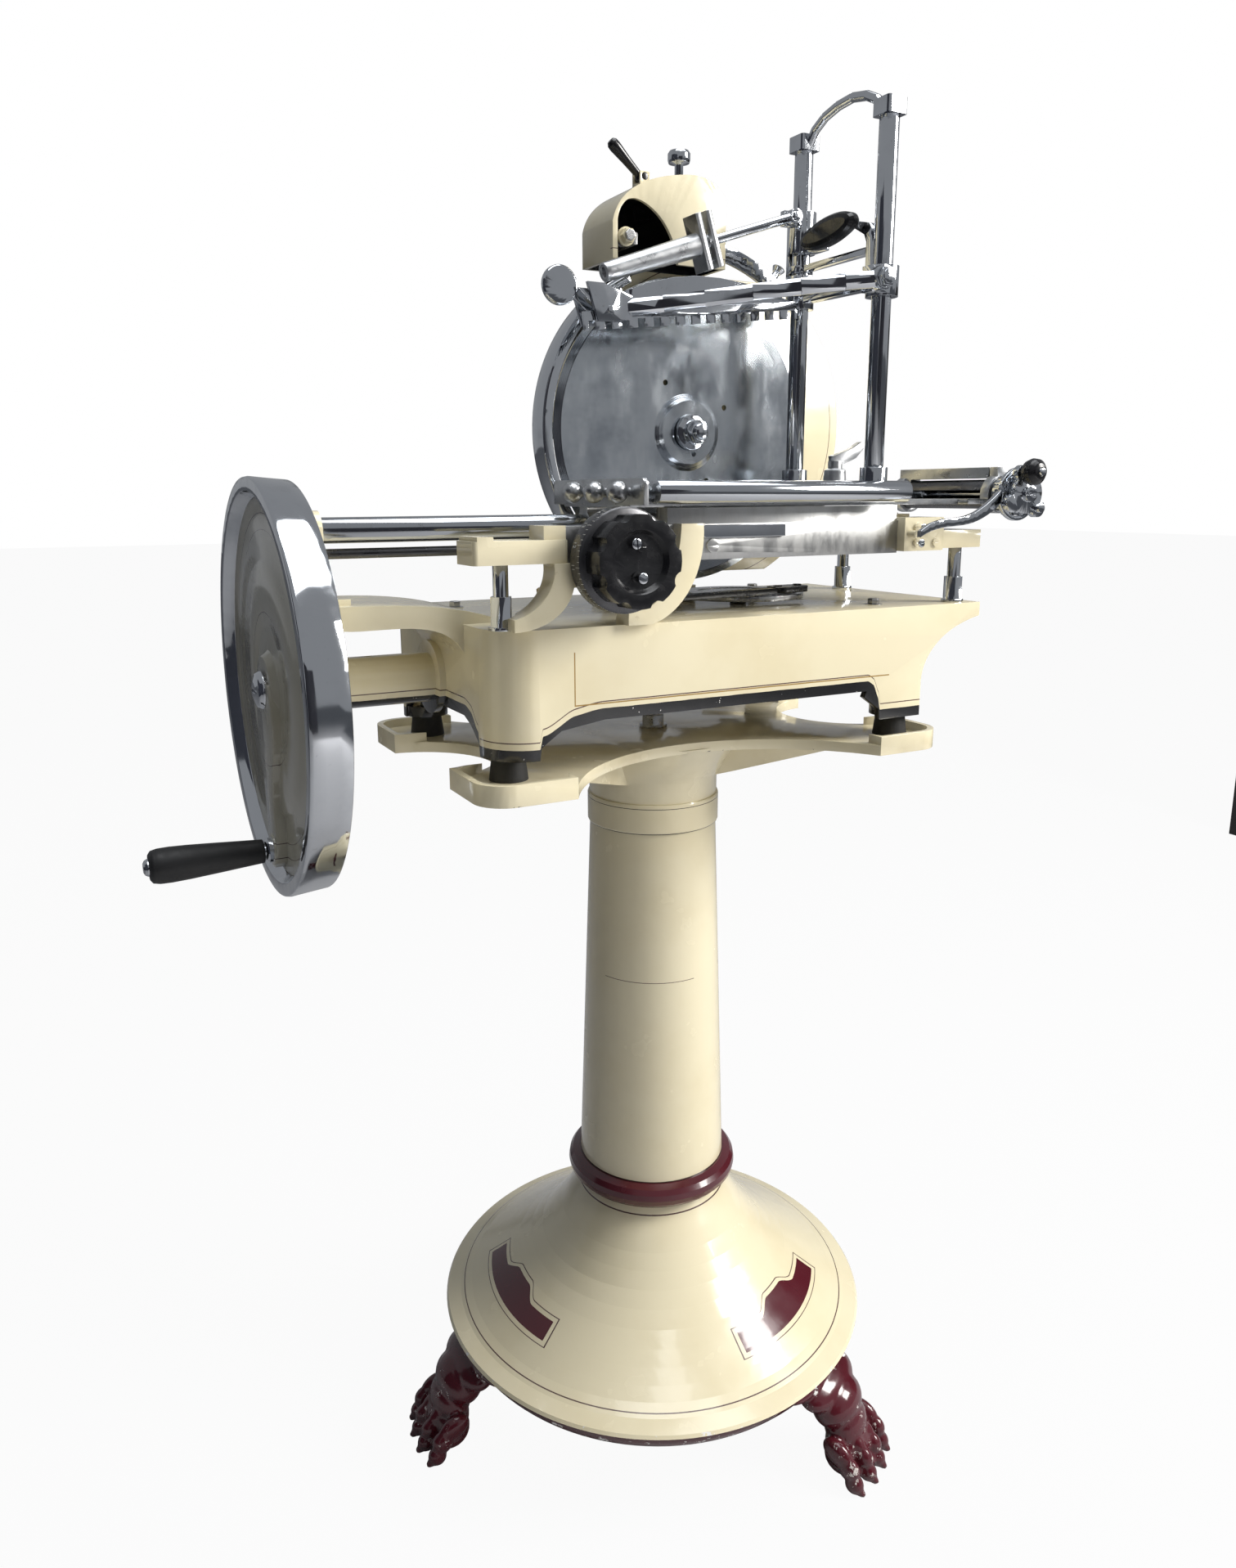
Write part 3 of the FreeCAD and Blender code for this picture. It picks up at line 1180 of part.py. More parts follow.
def build_clamp():
    save("upright_front", upright(rod_front_y))
    save("upright_back", upright(rod_back_y))
    save("arch_bar", arch_bar())
    save("clamp_carrier", clamp_carrier())
    save("lock_grip", lock_grip())
    save("main_arm", main_arm())
    save("press_plate", press_plate())
    save("thumb_lever", thumb_lever())
    save("push_sleeve", push_sleeve())
    save("push_rod", push_rod())


os.makedirs("parts", exist_ok=True)
build_pedestal()
build_base()
build_drive()
build_head()
build_ways()
build_carriage()
build_clamp()
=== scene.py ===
import bpy
import bmesh
import math
from mathutils import Matrix, Vector


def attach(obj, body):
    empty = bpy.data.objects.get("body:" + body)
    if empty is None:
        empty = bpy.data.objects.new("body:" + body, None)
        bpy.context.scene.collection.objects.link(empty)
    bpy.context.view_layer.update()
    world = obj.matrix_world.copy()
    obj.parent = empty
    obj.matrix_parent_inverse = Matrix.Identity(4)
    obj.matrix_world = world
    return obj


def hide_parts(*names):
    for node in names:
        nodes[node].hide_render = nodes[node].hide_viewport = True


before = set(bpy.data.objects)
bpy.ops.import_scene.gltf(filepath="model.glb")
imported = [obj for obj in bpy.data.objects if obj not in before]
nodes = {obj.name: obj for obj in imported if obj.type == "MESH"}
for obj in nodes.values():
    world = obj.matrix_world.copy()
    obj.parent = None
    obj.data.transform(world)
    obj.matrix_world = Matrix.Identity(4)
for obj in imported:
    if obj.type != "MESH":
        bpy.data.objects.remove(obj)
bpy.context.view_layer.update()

# Shapes and masks are in millimetres, from the point on the floor under the
# middle of the pedestal. SHIFT moves that point to its place in the frame.
# The floor, lamps, cards and camera are in metres, in the frame itself.
SHIFT = Vector((108.6, 7.15, 0.0))
MM = 0.001
TO_DEGREES = 57.29578

# Places on the CAD model
PAW_ANGLES = (177.3, 297.3, 57.3)  # degrees round the pedestal
HALF_THIRD = 60.0  # half the turn from one paw to the next
WHEEL_AXIS = (-19.0, 1008.2)  # y and z of the flywheel's shaft
KNIFE_AXIS = (39.4, 1271.4)  # x and z of the knife
COVER_AXIS = (91.4, 1282.0)  # x and z of the rear cover
DIAL_AXIS = (-165.0, 1139.0)  # x and z of the numbered dial

# Angles in degrees over which an edge counts as sharp
PIECE_SHARP = 38
NODE_SHARP = 34
NODE_BEVEL = 42


def place(p):
    return (Vector(p) + SHIFT) * MM


# ---------------------------------------------------------------- materials
class Num:
    """A number in a node tree that can be used in sums"""

    def __init__(self, tree, socket):
        self.tree = tree
        self.socket = socket

    def math(self, kind, *others):
        node = self.tree.nodes.new("ShaderNodeMath")
        node.operation = kind
        for i, value in enumerate((self,) + others):
            if isinstance(value, Num):
                self.tree.links.new(value.socket, node.inputs[i])
            else:
                node.inputs[i].default_value = value
        return Num(self.tree, node.outputs[0])

    def __add__(self, o):
        return self.math("ADD", o)

    def __sub__(self, o):
        return self.math("SUBTRACT", o)

    def __mul__(self, o):
        return self.math("MULTIPLY", o)

    def above(self, o):
        return self.math("GREATER_THAN", o)

    def below(self, o):
        return self.math("LESS_THAN", o)

    def inside(self, low, high):
        return self.above(low) * self.below(high)

    def either(self, o):
        return self.math("MAXIMUM", o)

    def ramp(self, low, high, to_low=0.0, to_high=1.0):
        node = self.tree.nodes.new("ShaderNodeMapRange")
        node.interpolation_type = "SMOOTHSTEP"
        self.tree.links.new(self.socket, node.inputs[0])
        for i, value in enumerate((low, high, to_low, to_high)):
            node.inputs[i + 1].default_value = value
        return Num(self.tree, node.outputs[0])


class Finish:
    """A material that is being put together"""

    def __init__(self, name):
        self.mat = bpy.data.materials.new(name)
        self.mat.use_nodes = True
        self.tree = self.mat.node_tree
        self.bsdf = self.tree.nodes["Principled BSDF"]
        coord = self.tree.nodes.new("ShaderNodeTexCoord")
        self.coord = coord.outputs["Object"]

    def axes(self):
        node = self.tree.nodes.new("ShaderNodeSeparateXYZ")
        self.tree.links.new(self.coord, node.inputs[0])
        out = []
        for i in range(3):
            out.append(Num(self.tree, node.outputs[i]) * 1000.0 - SHIFT[i])
        return out

    def noise(self, scale, detail=3.0, rough=0.55, stretch=None):
        node = self.tree.nodes.new("ShaderNodeTexNoise")
        node.inputs["Scale"].default_value = scale
        node.inputs["Detail"].default_value = detail
        node.inputs["Roughness"].default_value = rough
        source = self.coord
        if stretch is not None:
            move = self.tree.nodes.new("ShaderNodeMapping")
            move.inputs["Scale"].default_value = stretch
            self.tree.links.new(self.coord, move.inputs["Vector"])
            source = move.outputs[0]
        self.tree.links.new(source, node.inputs["Vector"])
        return Num(self.tree, node.outputs[0])

    def mix(self, factor, a, b):
        node = self.tree.nodes.new("ShaderNodeMix")
        node.data_type = "RGBA"
        self.tree.links.new(factor.socket, node.inputs[0])
        for i, value in ((6, a), (7, b)):
            if isinstance(value, tuple):
                node.inputs[i].default_value = value + (1.0,)
            else:
                self.tree.links.new(value, node.inputs[i])
        return node.outputs[2]

    def colour(self, value):
        if isinstance(value, tuple):
            self.bsdf.inputs["Base Color"].default_value = value + (1.0,)
        else:
            self.tree.links.new(value, self.bsdf.inputs["Base Color"])

    def set(self, **values):
        for key, value in values.items():
            socket = self.bsdf.inputs[key.replace("_", " ")]
            if isinstance(value, Num):
                self.tree.links.new(value.socket, socket)
            else:
                socket.default_value = value

    def bump(self, height, distance):
        node = self.tree.nodes.new("ShaderNodeBump")
        node.inputs["Strength"].default_value = 1.0
        node.inputs["Distance"].default_value = distance
        self.tree.links.new(height.socket, node.inputs["Height"])
        self.tree.links.new(node.outputs[0], self.bsdf.inputs["Normal"])


CREAM = (0.74, 0.67, 0.475)
CREAM_OLD = (0.66, 0.575, 0.37)
MAROON = (0.075, 0.008, 0.014)
CHIP = (0.80, 0.79, 0.76)
LINE = (0.10, 0.055, 0.05)
GOLD = (0.33, 0.21, 0.065)
BLACK = (0.012, 0.012, 0.013)
DIRT = (0.09, 0.075, 0.06)
SEAM = (0.05, 0.04, 0.03)
GRIME = (0.45, 0.37, 0.22)
BARE_IRON = (0.17, 0.15, 0.12)
OLD_CHIP = (0.5, 0.42, 0.27)
WORN_TOE = (0.55, 0.50, 0.47)


def enamel(name, base=CREAM, old=CREAM_OLD, masks=None):
    f = Finish(name)
    stain = f.noise(7.0, 4.0, 0.6).ramp(0.42, 0.75)
    col = f.mix(stain * 0.55, base, old)
    if masks is not None:
        for mask, colour in masks(f):
            col = f.mix(mask, col, colour)
    f.colour(col)
    f.set(Roughness=f.noise(22.0, 3.0).ramp(0.3, 0.8, 0.16, 0.30))
    f.set(Coat_Weight=0.5, Coat_Roughness=0.06)
    f.bump(f.noise(45.0, 2.0), 0.00022)
    return f.mat


def metal(name, colour, low, high, scale=30.0, stretch=None, grain=0.0, dirt=0.0):
    f = Finish(name)
    cloud = f.noise(scale, 4.0, 0.6, stretch)
    tint = tuple(c * 0.72 for c in colour)
    col = f.mix(cloud.ramp(0.45, 0.8) * 0.5, colour, tint)
    if dirt > 0:
        spots = f.noise(120.0, 5.0, 0.7).ramp(0.62, 0.75) * dirt
        col = f.mix(spots, col, DIRT)
    f.colour(col)
    f.set(Metallic=1.0, Roughness=cloud.ramp(0.3, 0.75, low, high))
    if grain > 0:
        f.bump(f.noise(scale * 6, 3.0, 0.6, stretch), grain)
    return f.mat


def plastic(name, colour, rough, bump=0.0001):
    f = Finish(name)
    worn = f.noise(60.0, 5.0, 0.65)
    pale = tuple(c * 1.6 + 0.003 for c in colour)
    f.colour(f.mix(worn.ramp(0.55, 0.8) * 0.4, colour, pale))
    f.set(Roughness=worn.ramp(0.3, 0.8, rough, rough + 0.2))
    f.bump(f.noise(200.0, 3.0), bump)
    return f.mat


def polar(a, b, centre=(0.0, 0.0)):
    """Distance from an axis across the coordinates a and b"""
    u, v = a - centre[0], b - centre[1]
    return (u * u + v * v).math("SQRT")


def from_third(x, y, middle):
    """Degrees from the nearest of three directions, of which middle is one"""
    turn = y.math("ARCTAN2", x) * TO_DEGREES
    return (turn - middle).math("WRAP", HALF_THIRD, -HALF_THIRD).math("ABSOLUTE")


def bell_masks(f):
    """The panels over the paws, with their lines, and the rings round the bell"""
    x, y, z = f.axes()
    r = polar(x, y)
    u = from_third(x, y, PAW_ANGLES[0])
    inner = u.ramp(5.0, 13.0, 187.0, 199.0)
    outer_line = u.below(26.9) * r.above(inner - 5.2) * r.below(224.6)
    inner_line = u.below(26.4) * r.above(inner - 4.2) * r.below(223.7)
    panel = u.below(25.0) * r.above(inner) * r.below(219.5)
    rings = r.inside(256.3, 257.6).either(r.inside(96.4, 97.4) * z.above(270.0))
    outer_line = outer_line * (inner_line * -1.0 + 1.0)
    chips = f.noise(60.0, 5.0, 0.7).above(0.63) * r.above(279.0)
    return [(rings.either(outer_line), LINE), (panel, MAROON), (chips, CHIP)]


def column_masks(f):
    """Seams at the top and bottom, and a thin line with gaps at mid height"""
    x, y, z = f.axes()
    joints = z.inside(803.0, 804.6).either(z.inside(834.6, 835.4))
    gap = from_third(x, y, -122.7).below(40.0)
    middle = z.inside(614.6, 615.4) * gap
    low = z.inside(346.0, 347.5)
    return [(joints.either(low), SEAM), (middle, LINE)]


def edge_of_base(f):
    """Height of the casting's lower edge along its four sides"""
    x, y, z = f.axes()
    sole, step = 945.0, 958.0

    def half(v, foot, full, way):
        """The edge from a foot to where its arch is full. way is 1 or -1"""
        rise = v.ramp(foot, foot + 4 * way, sole, step)
        rise = rise + v.ramp(foot + 2 * way, foot + 0.55 * (full - foot), 0.0, 15.0)
        return rise + v.ramp(foot + 0.3 * (full - foot), full, 0.0, 7.0)

    def side(v, feet, full):
        left = half(v, feet[0], full[0], 1)
        return left.math("MINIMUM", half(v, feet[1], full[1], -1))

    front = side(x, (-244.0, 187.0), (-172.0, 166.0))
    flank = side(y, (-152.0, 86.0), (-110.0, 44.0))
    on_front = y.below(-191.0).either(y.above(123.0))
    return x, y, z, front * on_front + flank * (on_front * -1.0 + 1.0)


def base_masks(f):
    """The black lower edge with its line, and the gold frame in front"""
    x, y, z, low = edge_of_base(f)
    over = z - low
    wobble = f.noise(40.0, 2.0) * 1.2
    black = over.below(wobble + 11.0) * z.below(1000.0)
    chips = f.noise(110.0, 4.0, 0.7).above(0.69) * over.inside(0.5, 13.0) * z.below(1000.0)
    line = over.inside(18.0, 19.2) * z.below(1004.0)
    front = y.below(-198.0)
    bar = z.inside(996.0, 997.4) * x.inside(-205.0, 198.0)
    stand = x.inside(-205.7, -204.3) * z.inside(996.0, 1050.0)
    gold = bar.either(stand) * front
    return [(line, LINE), (black, BLACK), (chips, CHIP), (gold, GOLD)]


def spider_masks(f):
    z = f.axes()[2]
    edge = z.above(928.3).either(z.below(909.6) * z.above(900.0))
    chips = f.noise(70.0, 5.0, 0.75).above(0.66) * edge
    grime = f.noise(14.0, 4.0).ramp(0.5, 0.8) * 0.4
    return [(grime, GRIME), (chips, BARE_IRON)]


def web_masks(f):
    """Three thin circles on the flywheel's outer face"""
    x, y, z = f.axes()
    r = polar(y, z, WHEEL_AXIS)
    lines = r.inside(176.0, 177.0).either(r.inside(160.0, 160.8)).either(r.inside(78.0, 78.8))
    return [(lines * x.below(-455.0), LINE)]


def cover_masks(f):
    x, y, z = f.axes()
    line = polar(x, z, COVER_AXIS).inside(184.0, 184.9) * y.below(24.0)
    return [(line, LINE)]


def hood_masks(f):
    """A line round the hood, and painted shade: black on the walls inside it, where the hollow
    under the hood lies in shade
    """
    x, y, z = f.axes()
    line = z.inside(1462.0, 1462.9) * y.below(-20.0).either(x.above(70.0))
    crown = x.ramp(-63.0, -26.0, 1488.0, 1529.5) + x.ramp(-26.0, 16.0, 0.0, 11.0)
    # painted shade: the inner walls below the crown are coloured black, standing in for the shade
    # inside the hood
    inside = y.inside(-21.5, 43.5) * x.inside(-63.6, 73.6) * (z - crown).below(0.0)
    return [(line, LINE), (inside, BLACK)]


def bracket_masks(f):
    chips = f.noise(90.0, 4.0, 0.7).above(0.68)
    return [(chips * 0.35, OLD_CHIP)]


def maroon_masks(f):
    """Paint worn off the skirt's rim and off the toes"""
    x, y, z = f.axes()
    r = polar(x, y)
    worn = f.noise(75.0, 6.0, 0.75)
    rim = r.inside(255.0, 276.0) * z.below(126.0)
    chips = worn.above(0.60) * rim
    toes = worn.above(0.615) * r.above(300.0)
    return [(chips, CHIP), (toes, WORN_TOE)]


cream = enamel("cream_enamel", masks=bracket_masks)
bell_paint = enamel("bell_enamel", masks=bell_masks)
column_paint = enamel("column_enamel", masks=column_masks)
base_paint = enamel("base_enamel", masks=base_masks)
spider_paint = enamel("spider_enamel", masks=spider_masks)
web_paint = enamel("web_enamel", (0.60, 0.57, 0.46), (0.50, 0.46, 0.34), web_masks)
cover_paint = enamel("cover_enamel", masks=cover_masks)
hood_paint_and_shade = enamel("hood_enamel_and_shade", masks=hood_masks)
maroon_paint = enamel("maroon_enamel", MAROON, (0.045, 0.006, 0.010))
paw_paint = enamel("paw_enamel", MAROON, (0.035, 0.006, 0.009), maroon_masks)
chrome = metal("chrome_worn", (0.62, 0.64, 0.67), 0.05, 0.14, 25.0, dirt=0.25)
chrome_bar = metal("chrome_bar", (0.56, 0.58, 0.61), 0.06, 0.18, 20.0,
                   stretch=(0.15, 1.0, 1.0), dirt=0.3)
rail_steel = metal("scraped_steel", (0.55, 0.55, 0.54), 0.28, 0.50, 55.0,
                   stretch=(1.0, 1.0, 0.35), grain=0.00012, dirt=0.15)
plain_steel = metal("plain_steel", (0.50, 0.50, 0.50), 0.22, 0.40, 45.0, grain=0.00005, dirt=0.4)
grey_metal = metal("cast_alloy", (0.50, 0.51, 0.52), 0.25, 0.45, 60.0, grain=0.0001, dirt=0.3)
dark_steel = metal("dark_steel", (0.12, 0.12, 0.125), 0.22, 0.42, 40.0, grain=0.00005, dirt=0.2)
brass = metal("aged_brass", (0.55, 0.42, 0.20), 0.25, 0.4, 60.0, grain=0.00005, dirt=0.4)
black_gloss = plastic("black_gloss", (0.008, 0.008, 0.009), 0.14)
black_matt = plastic("black_matt", (0.02, 0.02, 0.021), 0.42)
rubber = plastic("black_rubber", (0.014, 0.014, 0.014), 0.6, 0.0002)
white_ink = plastic("white_ink", (0.55, 0.55, 0.52), 0.5)


def blade_finish():
    """Steel with fine turning marks, hazy patches and a dark line near the edge"""
    f = Finish("blade_steel")
    x, y, z = f.axes()
    r = polar(x, z, KNIFE_AXIS)
    rings = (r * 3.1).math("SINE")
    cloud = f.noise(16.0, 4.0, 0.6)
    smear = f.noise(40.0, 3.0, 0.6, (1.0, 1.0, 0.4))
    col = f.mix(cloud.ramp(0.4, 0.75) * 0.7, (0.56, 0.59, 0.62), (0.27, 0.30, 0.34))
    col = f.mix(r.inside(163.5, 164.6), col, (0.25, 0.26, 0.28))
    f.colour(col)
    f.set(Metallic=1.0, Roughness=smear.ramp(0.3, 0.8, 0.12, 0.30), Anisotropic=0.6)
    f.bump(rings + f.noise(300.0, 2.0), 0.00001)
    return f.mat


blade_mat = blade_finish()


# ------------------------------------------------------------------- shapes
def add_object(name, data):
    obj = bpy.data.objects.new(name, data)
    bpy.context.scene.collection.objects.link(obj)
    return obj


def shade_smooth(obj, sharp):
    for poly in obj.data.polygons:
        poly.use_smooth = True
    obj.data.set_sharp_from_angle(angle=math.radians(sharp))


def bevel_edges(obj, width, steps, over):
    mod = obj.modifiers.new("edges", "BEVEL")
    mod.width = width * MM
    mod.segments = steps
    mod.limit_method = "ANGLE"
    mod.angle_limit = math.radians(over)
    mod.harden_normals = True


def finish_piece(obj, mat, body, bevel=0.0, smooth=True):
    obj.data.materials.append(mat)
    if smooth:
        shade_smooth(obj, PIECE_SHARP)
    if bevel > 0:
        bevel_edges(obj, bevel, 2, PIECE_SHARP)
    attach(obj, body)
    return obj


def mesh_piece(name, points, faces, mat, body, bevel=0.0, smooth=True):
    data = bpy.data.meshes.new(name)
    data.from_pydata([place(p) for p in points], [], faces)
    data.validate()
    bm = bmesh.new()
    bm.from_mesh(data)
    bmesh.ops.recalc_face_normals(bm, faces=bm.faces)
    bm.to_mesh(data)
    bm.free()
    return finish_piece(add_object(name, data), mat, body, bevel, smooth)


def turned_points(profile, at, axis, count, spin=0.0):
    """A profile of (radius, height) turned round an axis, closed at its ends"""
    axis = Vector(axis).normalized()
    side = axis.orthogonal().normalized()
    other = axis.cross(side)
    points, faces = [], []
    for r, h in profile:
        for i in range(count):
            a = 2 * math.pi * i / count + spin
            p = Vector(at) + axis * h + side * (r * math.cos(a)) + other * (r * math.sin(a))
            points.append(p)
    for j in range(len(profile) - 1):
        for i in range(count):
            k = (i + 1) % count
            faces.append([j * count + i, j * count + k, (j + 1) * count + k, (j + 1) * count + i])
    if profile[0][0] > 0.01:
        faces.append(list(range(count))[::-1])
    if profile[-1][0] > 0.01:
        faces.append([(len(profile) - 1) * count + i for i in range(count)])
    return points, faces


def lathe(name, profile, at, axis, mat, body, count):
    points, faces = turned_points(profile, at, axis, count)
    return mesh_piece(name, points, faces, mat, body)


def slab(name, outline, low, high, mat, body, bevel):
    """A plate with an outline in x and z, between two levels of y"""
    points = [(x, y, z) for y in (low, high) for x, z in outline]
    n = len(outline)
    faces = [list(range(n)), list(range(n, 2 * n))[::-1]]
    for i in range(n):
        k = (i + 1) % n
        faces.append([i, k, n + k, n + i])
    return mesh_piece(name, points, faces, mat, body, bevel)


SCREW_DOME = ((1.0, 0.0), (1.0, 0.45), (0.9, 0.8), (0.7, 1.0))  # shares of radius, height
SCREW_SLOT = 0.13  # half the slot's width as a share of the radius
SCREW_STEPS = 14  # along each half of the rim


def screw(name, at, axis, r, body, mat, dome, angle):
    """A slotted screw head: a domed disc with a real slot across it"""
    high = r * dome
    axis = Vector(axis).normalized()
    side = axis.orthogonal().normalized()
    side = Matrix.Rotation(angle, 3, axis) @ side
    other = axis.cross(side)
    edge = r * SCREW_SLOT
    start = math.asin(edge / r)
    n = SCREW_STEPS
    bm = bmesh.new()
    for half in (-1, 1):
        ring = []
        for i in range(n + 1):
            a = start + (math.pi - 2 * start) * i / n
            ring.append((r * math.cos(a), half * r * math.sin(a)))
        levels = []
        for scale, share in SCREW_DOME:
            row = []
            for u, v in ring:
                w = max(abs(v) * scale, edge) * half
                p = Vector(at) + side * (u * scale) + other * w + axis * (high * share)
                row.append(bm.verts.new(place(p)))
            levels.append(row)
        for a, b in zip(levels, levels[1:]):
            for i in range(n):
                bm.faces.new([a[i], a[i + 1], b[i + 1], b[i]])
            bm.faces.new([a[n], a[0], b[0], b[n]])
        bm.faces.new(levels[-1])
    floor_of_slot = Matrix.Translation(place(Vector(at) + axis * (high * 0.2)))
    floor_of_slot = floor_of_slot @ Matrix((side, other, axis)).transposed().to_4x4()
    bmesh.ops.create_circle(bm, cap_ends=True, radius=r * MM, segments=28, matrix=floor_of_slot)
    bmesh.ops.recalc_face_normals(bm, faces=bm.faces)
    data = bpy.data.meshes.new(name)
    bm.to_mesh(data)
    bm.free()
    return finish_piece(add_object(name, data), mat, body)


def hexnut(name, at, axis, flat, high, body, mat, washer=0.0, spin=0.0):
    """A nut of a given width across flats, with a washer where its radius is given"""
    corner = flat / math.sqrt(3)
    profile = [(corner * 0.93, 0), (corner, high * 0.14), (corner, high * 0.84),
               (corner * 0.90, high), (corner * 0.45, high)]
    points, faces = turned_points(profile, at, axis, 6, spin)
    mesh_piece(name, points, faces, mat, body, 0.35)
    if washer > 0:
        thick, round_off = 1.6, 0.4
        base = Vector(at) - Vector(axis).normalized() * thick
        disc = [(0, 0), (washer - round_off, 0), (washer, round_off), (washer, thick), (0, thick)]
        lathe(name + "_washer", disc, base, axis, mat, body, 36)


# --------------------------------------------- materials for the CAD's nodes
SURFACES = {
    "pedestal_foot": bell_paint, "foot_skirt": paw_paint, "collar_ring": maroon_paint,
    "pedestal_column": column_paint, "table_spider": spider_paint, "base_bolt": plain_steel,
    "base_casting": base_paint, "flywheel_rim": chrome, "flywheel_web": web_paint,
    "flywheel_cap": chrome, "crank_spindle": chrome, "crank_grip": black_matt,
    "main_shaft": plain_steel, "cross_shaft": plain_steel, "drive_chain": dark_steel,
    "crank_disc": plain_steel, "drive_link": black_gloss, "blade_standard": cream,
    "rear_cover": cover_paint, "blade_shaft": plain_steel, "knife_blade": blade_mat,
    "blade_nut": chrome, "knife_guard": chrome, "top_guard": chrome,
    "sharpener_housing": hood_paint_and_shade, "sharpener_lever": black_gloss, "sharpener_knob": chrome,
    "slide_bar": chrome_bar, "lower_bar": dark_steel, "post_front_left": chrome,
    "post_front_right": chrome, "post_back_right": chrome, "bracket_left": cream,
    "bracket_right": cream, "front_rail": rail_steel, "dial_bracket": cream,
    "dial_drum": dark_steel, "index_knob": black_gloss, "carriage": grey_metal,
    "end_plate": grey_metal, "meat_table": chrome_bar, "feed_tube": dark_steel,
    "feed_crank": chrome, "feed_knob": black_gloss, "feed_pawl": chrome,
    "table_lever": grey_metal,
    "upright_front": chrome, "upright_back": chrome, "arch_bar": chrome,
    "clamp_carrier": chrome, "lock_grip": black_gloss, "main_arm": chrome,
    "press_plate": chrome, "thumb_lever": chrome,
    "push_sleeve": grey_metal, "push_rod": chrome,
}
# Rounding of the CAD's edges in millimetres. Nodes that aren't listed get PLAIN_BEVEL
PLAIN_BEVEL = 0.8
BEVELS = {
    "base_casting": 5.0, "sharpener_housing": 4.0, "rear_cover": 2.0, "table_spider": 2.0,
    "knife_blade": 0.0, "drive_chain": 0.0, "crank_spindle": 0.0, "pedestal_foot": 0.0,
    "collar_ring": 0.0, "meat_table": 0.6, "flywheel_web": 1.2, "crank_grip": 0.6,
    "knife_guard": 1.0, "top_guard": 1.0, "press_plate": 0.6, "dial_bracket": 2.0,
    "bracket_left": 2.0, "bracket_right": 1.6, "index_knob": 1.6, "foot_skirt": 3.0,
    "lock_grip": 0.0, "arch_bar": 0.0, "pedestal_column": 0.0, "sharpener_knob": 0.5,
}


def dress_nodes():
    for name, obj in nodes.items():
        mat = rubber if name.startswith("rubber_foot") else SURFACES[name]
        obj.data.materials.clear()
        obj.data.materials.append(mat)
        shade_smooth(obj, NODE_SHARP)
        for poly in obj.data.polygons:
            poly.material_index = 0
        width = BEVELS.get(name, PLAIN_BEVEL)
        if width > 0:
            weld = obj.modifiers.new("weld", "WELD")
            weld.merge_threshold = 0.00001
            bevel_edges(obj, width, 3 if width > 1.5 else 2, NODE_BEVEL)


dress_nodes()


# -------------------------------------------------------------- lion's paws
# Muscles of a paw along plus X: middle, half sizes and tilt
PAW = (
    ((250, 0, 118), (24, 78, 14), 0.0),
    ((264, 0, 102), (30, 54, 22), 0.3),
    ((280, 0, 82), (30, 40, 30), 0.6),
    ((293, 0, 58), (26, 33, 32), -0.2),
    ((298, 0, 34), (28, 34, 28), 0.1),
    ((302, 0, 16), (32, 38, 16), 0.0),
)
# Joints of a toe and its claw: distance out, height, half sizes and tilt
TOE = (
    (310, 44, (22, 10.0, 15), 0.5),
    (325, 30, (15, 10.4, 14), 0.9),
    (333, 13, (12, 9.8, 12.5), 0.2),
    (341, 6, (7.5, 4.6, 5.4), 0.3),
)
TOE_GAP = 18.5  # from toe to toe
TOE_BACK = 5  # how far a toe stands back for each toe from the paw's middle
TOE_SPLAY = 1.5  # degrees
SOLE_Z = 0.4  # the render's paws end just over the floor
SKIRT_RING = [(240, 128), (240, 114), (243, 111), (250, 110), (258, 110.8), (264, 114),
              (268, 119), (271, 126), (272, 137.8), (262, 137.8), (262, 128), (240, 128)]


def paw_part(bm, at, size, turn, tilt):
    """One egg-shaped muscle of the paw, drawn along plus X and turned round the pedestal"""
    made = bmesh.ops.create_uvsphere(bm, u_segments=24, v_segments=14, radius=1.0)["verts"]
    shape = Matrix.Translation(Vector(at)) @ Matrix.Rotation(tilt, 4, "Y")
    shape = shape @ Matrix.Diagonal(Vector(size + (1.0,)))
    spin = Matrix.Rotation(turn, 4, "Z")
    bmesh.ops.transform(bm, matrix=spin @ shape, verts=made)


def build_skirt():
    bm = bmesh.new()
    for angle in PAW_ANGLES:
        turn = math.radians(angle)
        for at, size, tilt in PAW:
            paw_part(bm, at, size, turn, tilt)
        for i in range(4):
            across = i - 1.5
            yaw = turn + math.radians(across * TOE_SPLAY)
            for out, high, size, tilt in TOE:
                at = (out - abs(across) * TOE_BACK, across * TOE_GAP, high)
                paw_part(bm, at, size, yaw, tilt)
    for v in bm.verts:
        v.co.z = max(v.co.z, SOLE_Z)
        v.co = place(v.co)
    data = bpy.data.meshes.new("lion_paws")
    bm.to_mesh(data)
    bm.free()
    obj = add_object("lion_paws", data)
    mod = obj.modifiers.new("skin", "REMESH")
    mod.mode = "VOXEL"
    mod.voxel_size = 0.0022
    soft = obj.modifiers.new("soft", "SMOOTH")
    soft.factor = 0.5
    soft.iterations = 3
    bpy.context.view_layer.update()
    graph = bpy.context.evaluated_depsgraph_get()
    skin = bpy.data.meshes.new_from_object(obj.evaluated_get(graph))
    obj.modifiers.clear()
    obj.data = skin
    obj.data.materials.clear()
    finish_piece(obj, paw_paint, "stand")
    points, faces = turned_points(SKIRT_RING, (0, 0, 0), (0, 0, 1), 128)
    ring = mesh_piece("foot_skirt_ring", points, faces[:-2], paw_paint, "stand")
    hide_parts("foot_skirt")
    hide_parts("foot_skirt")


build_skirt()


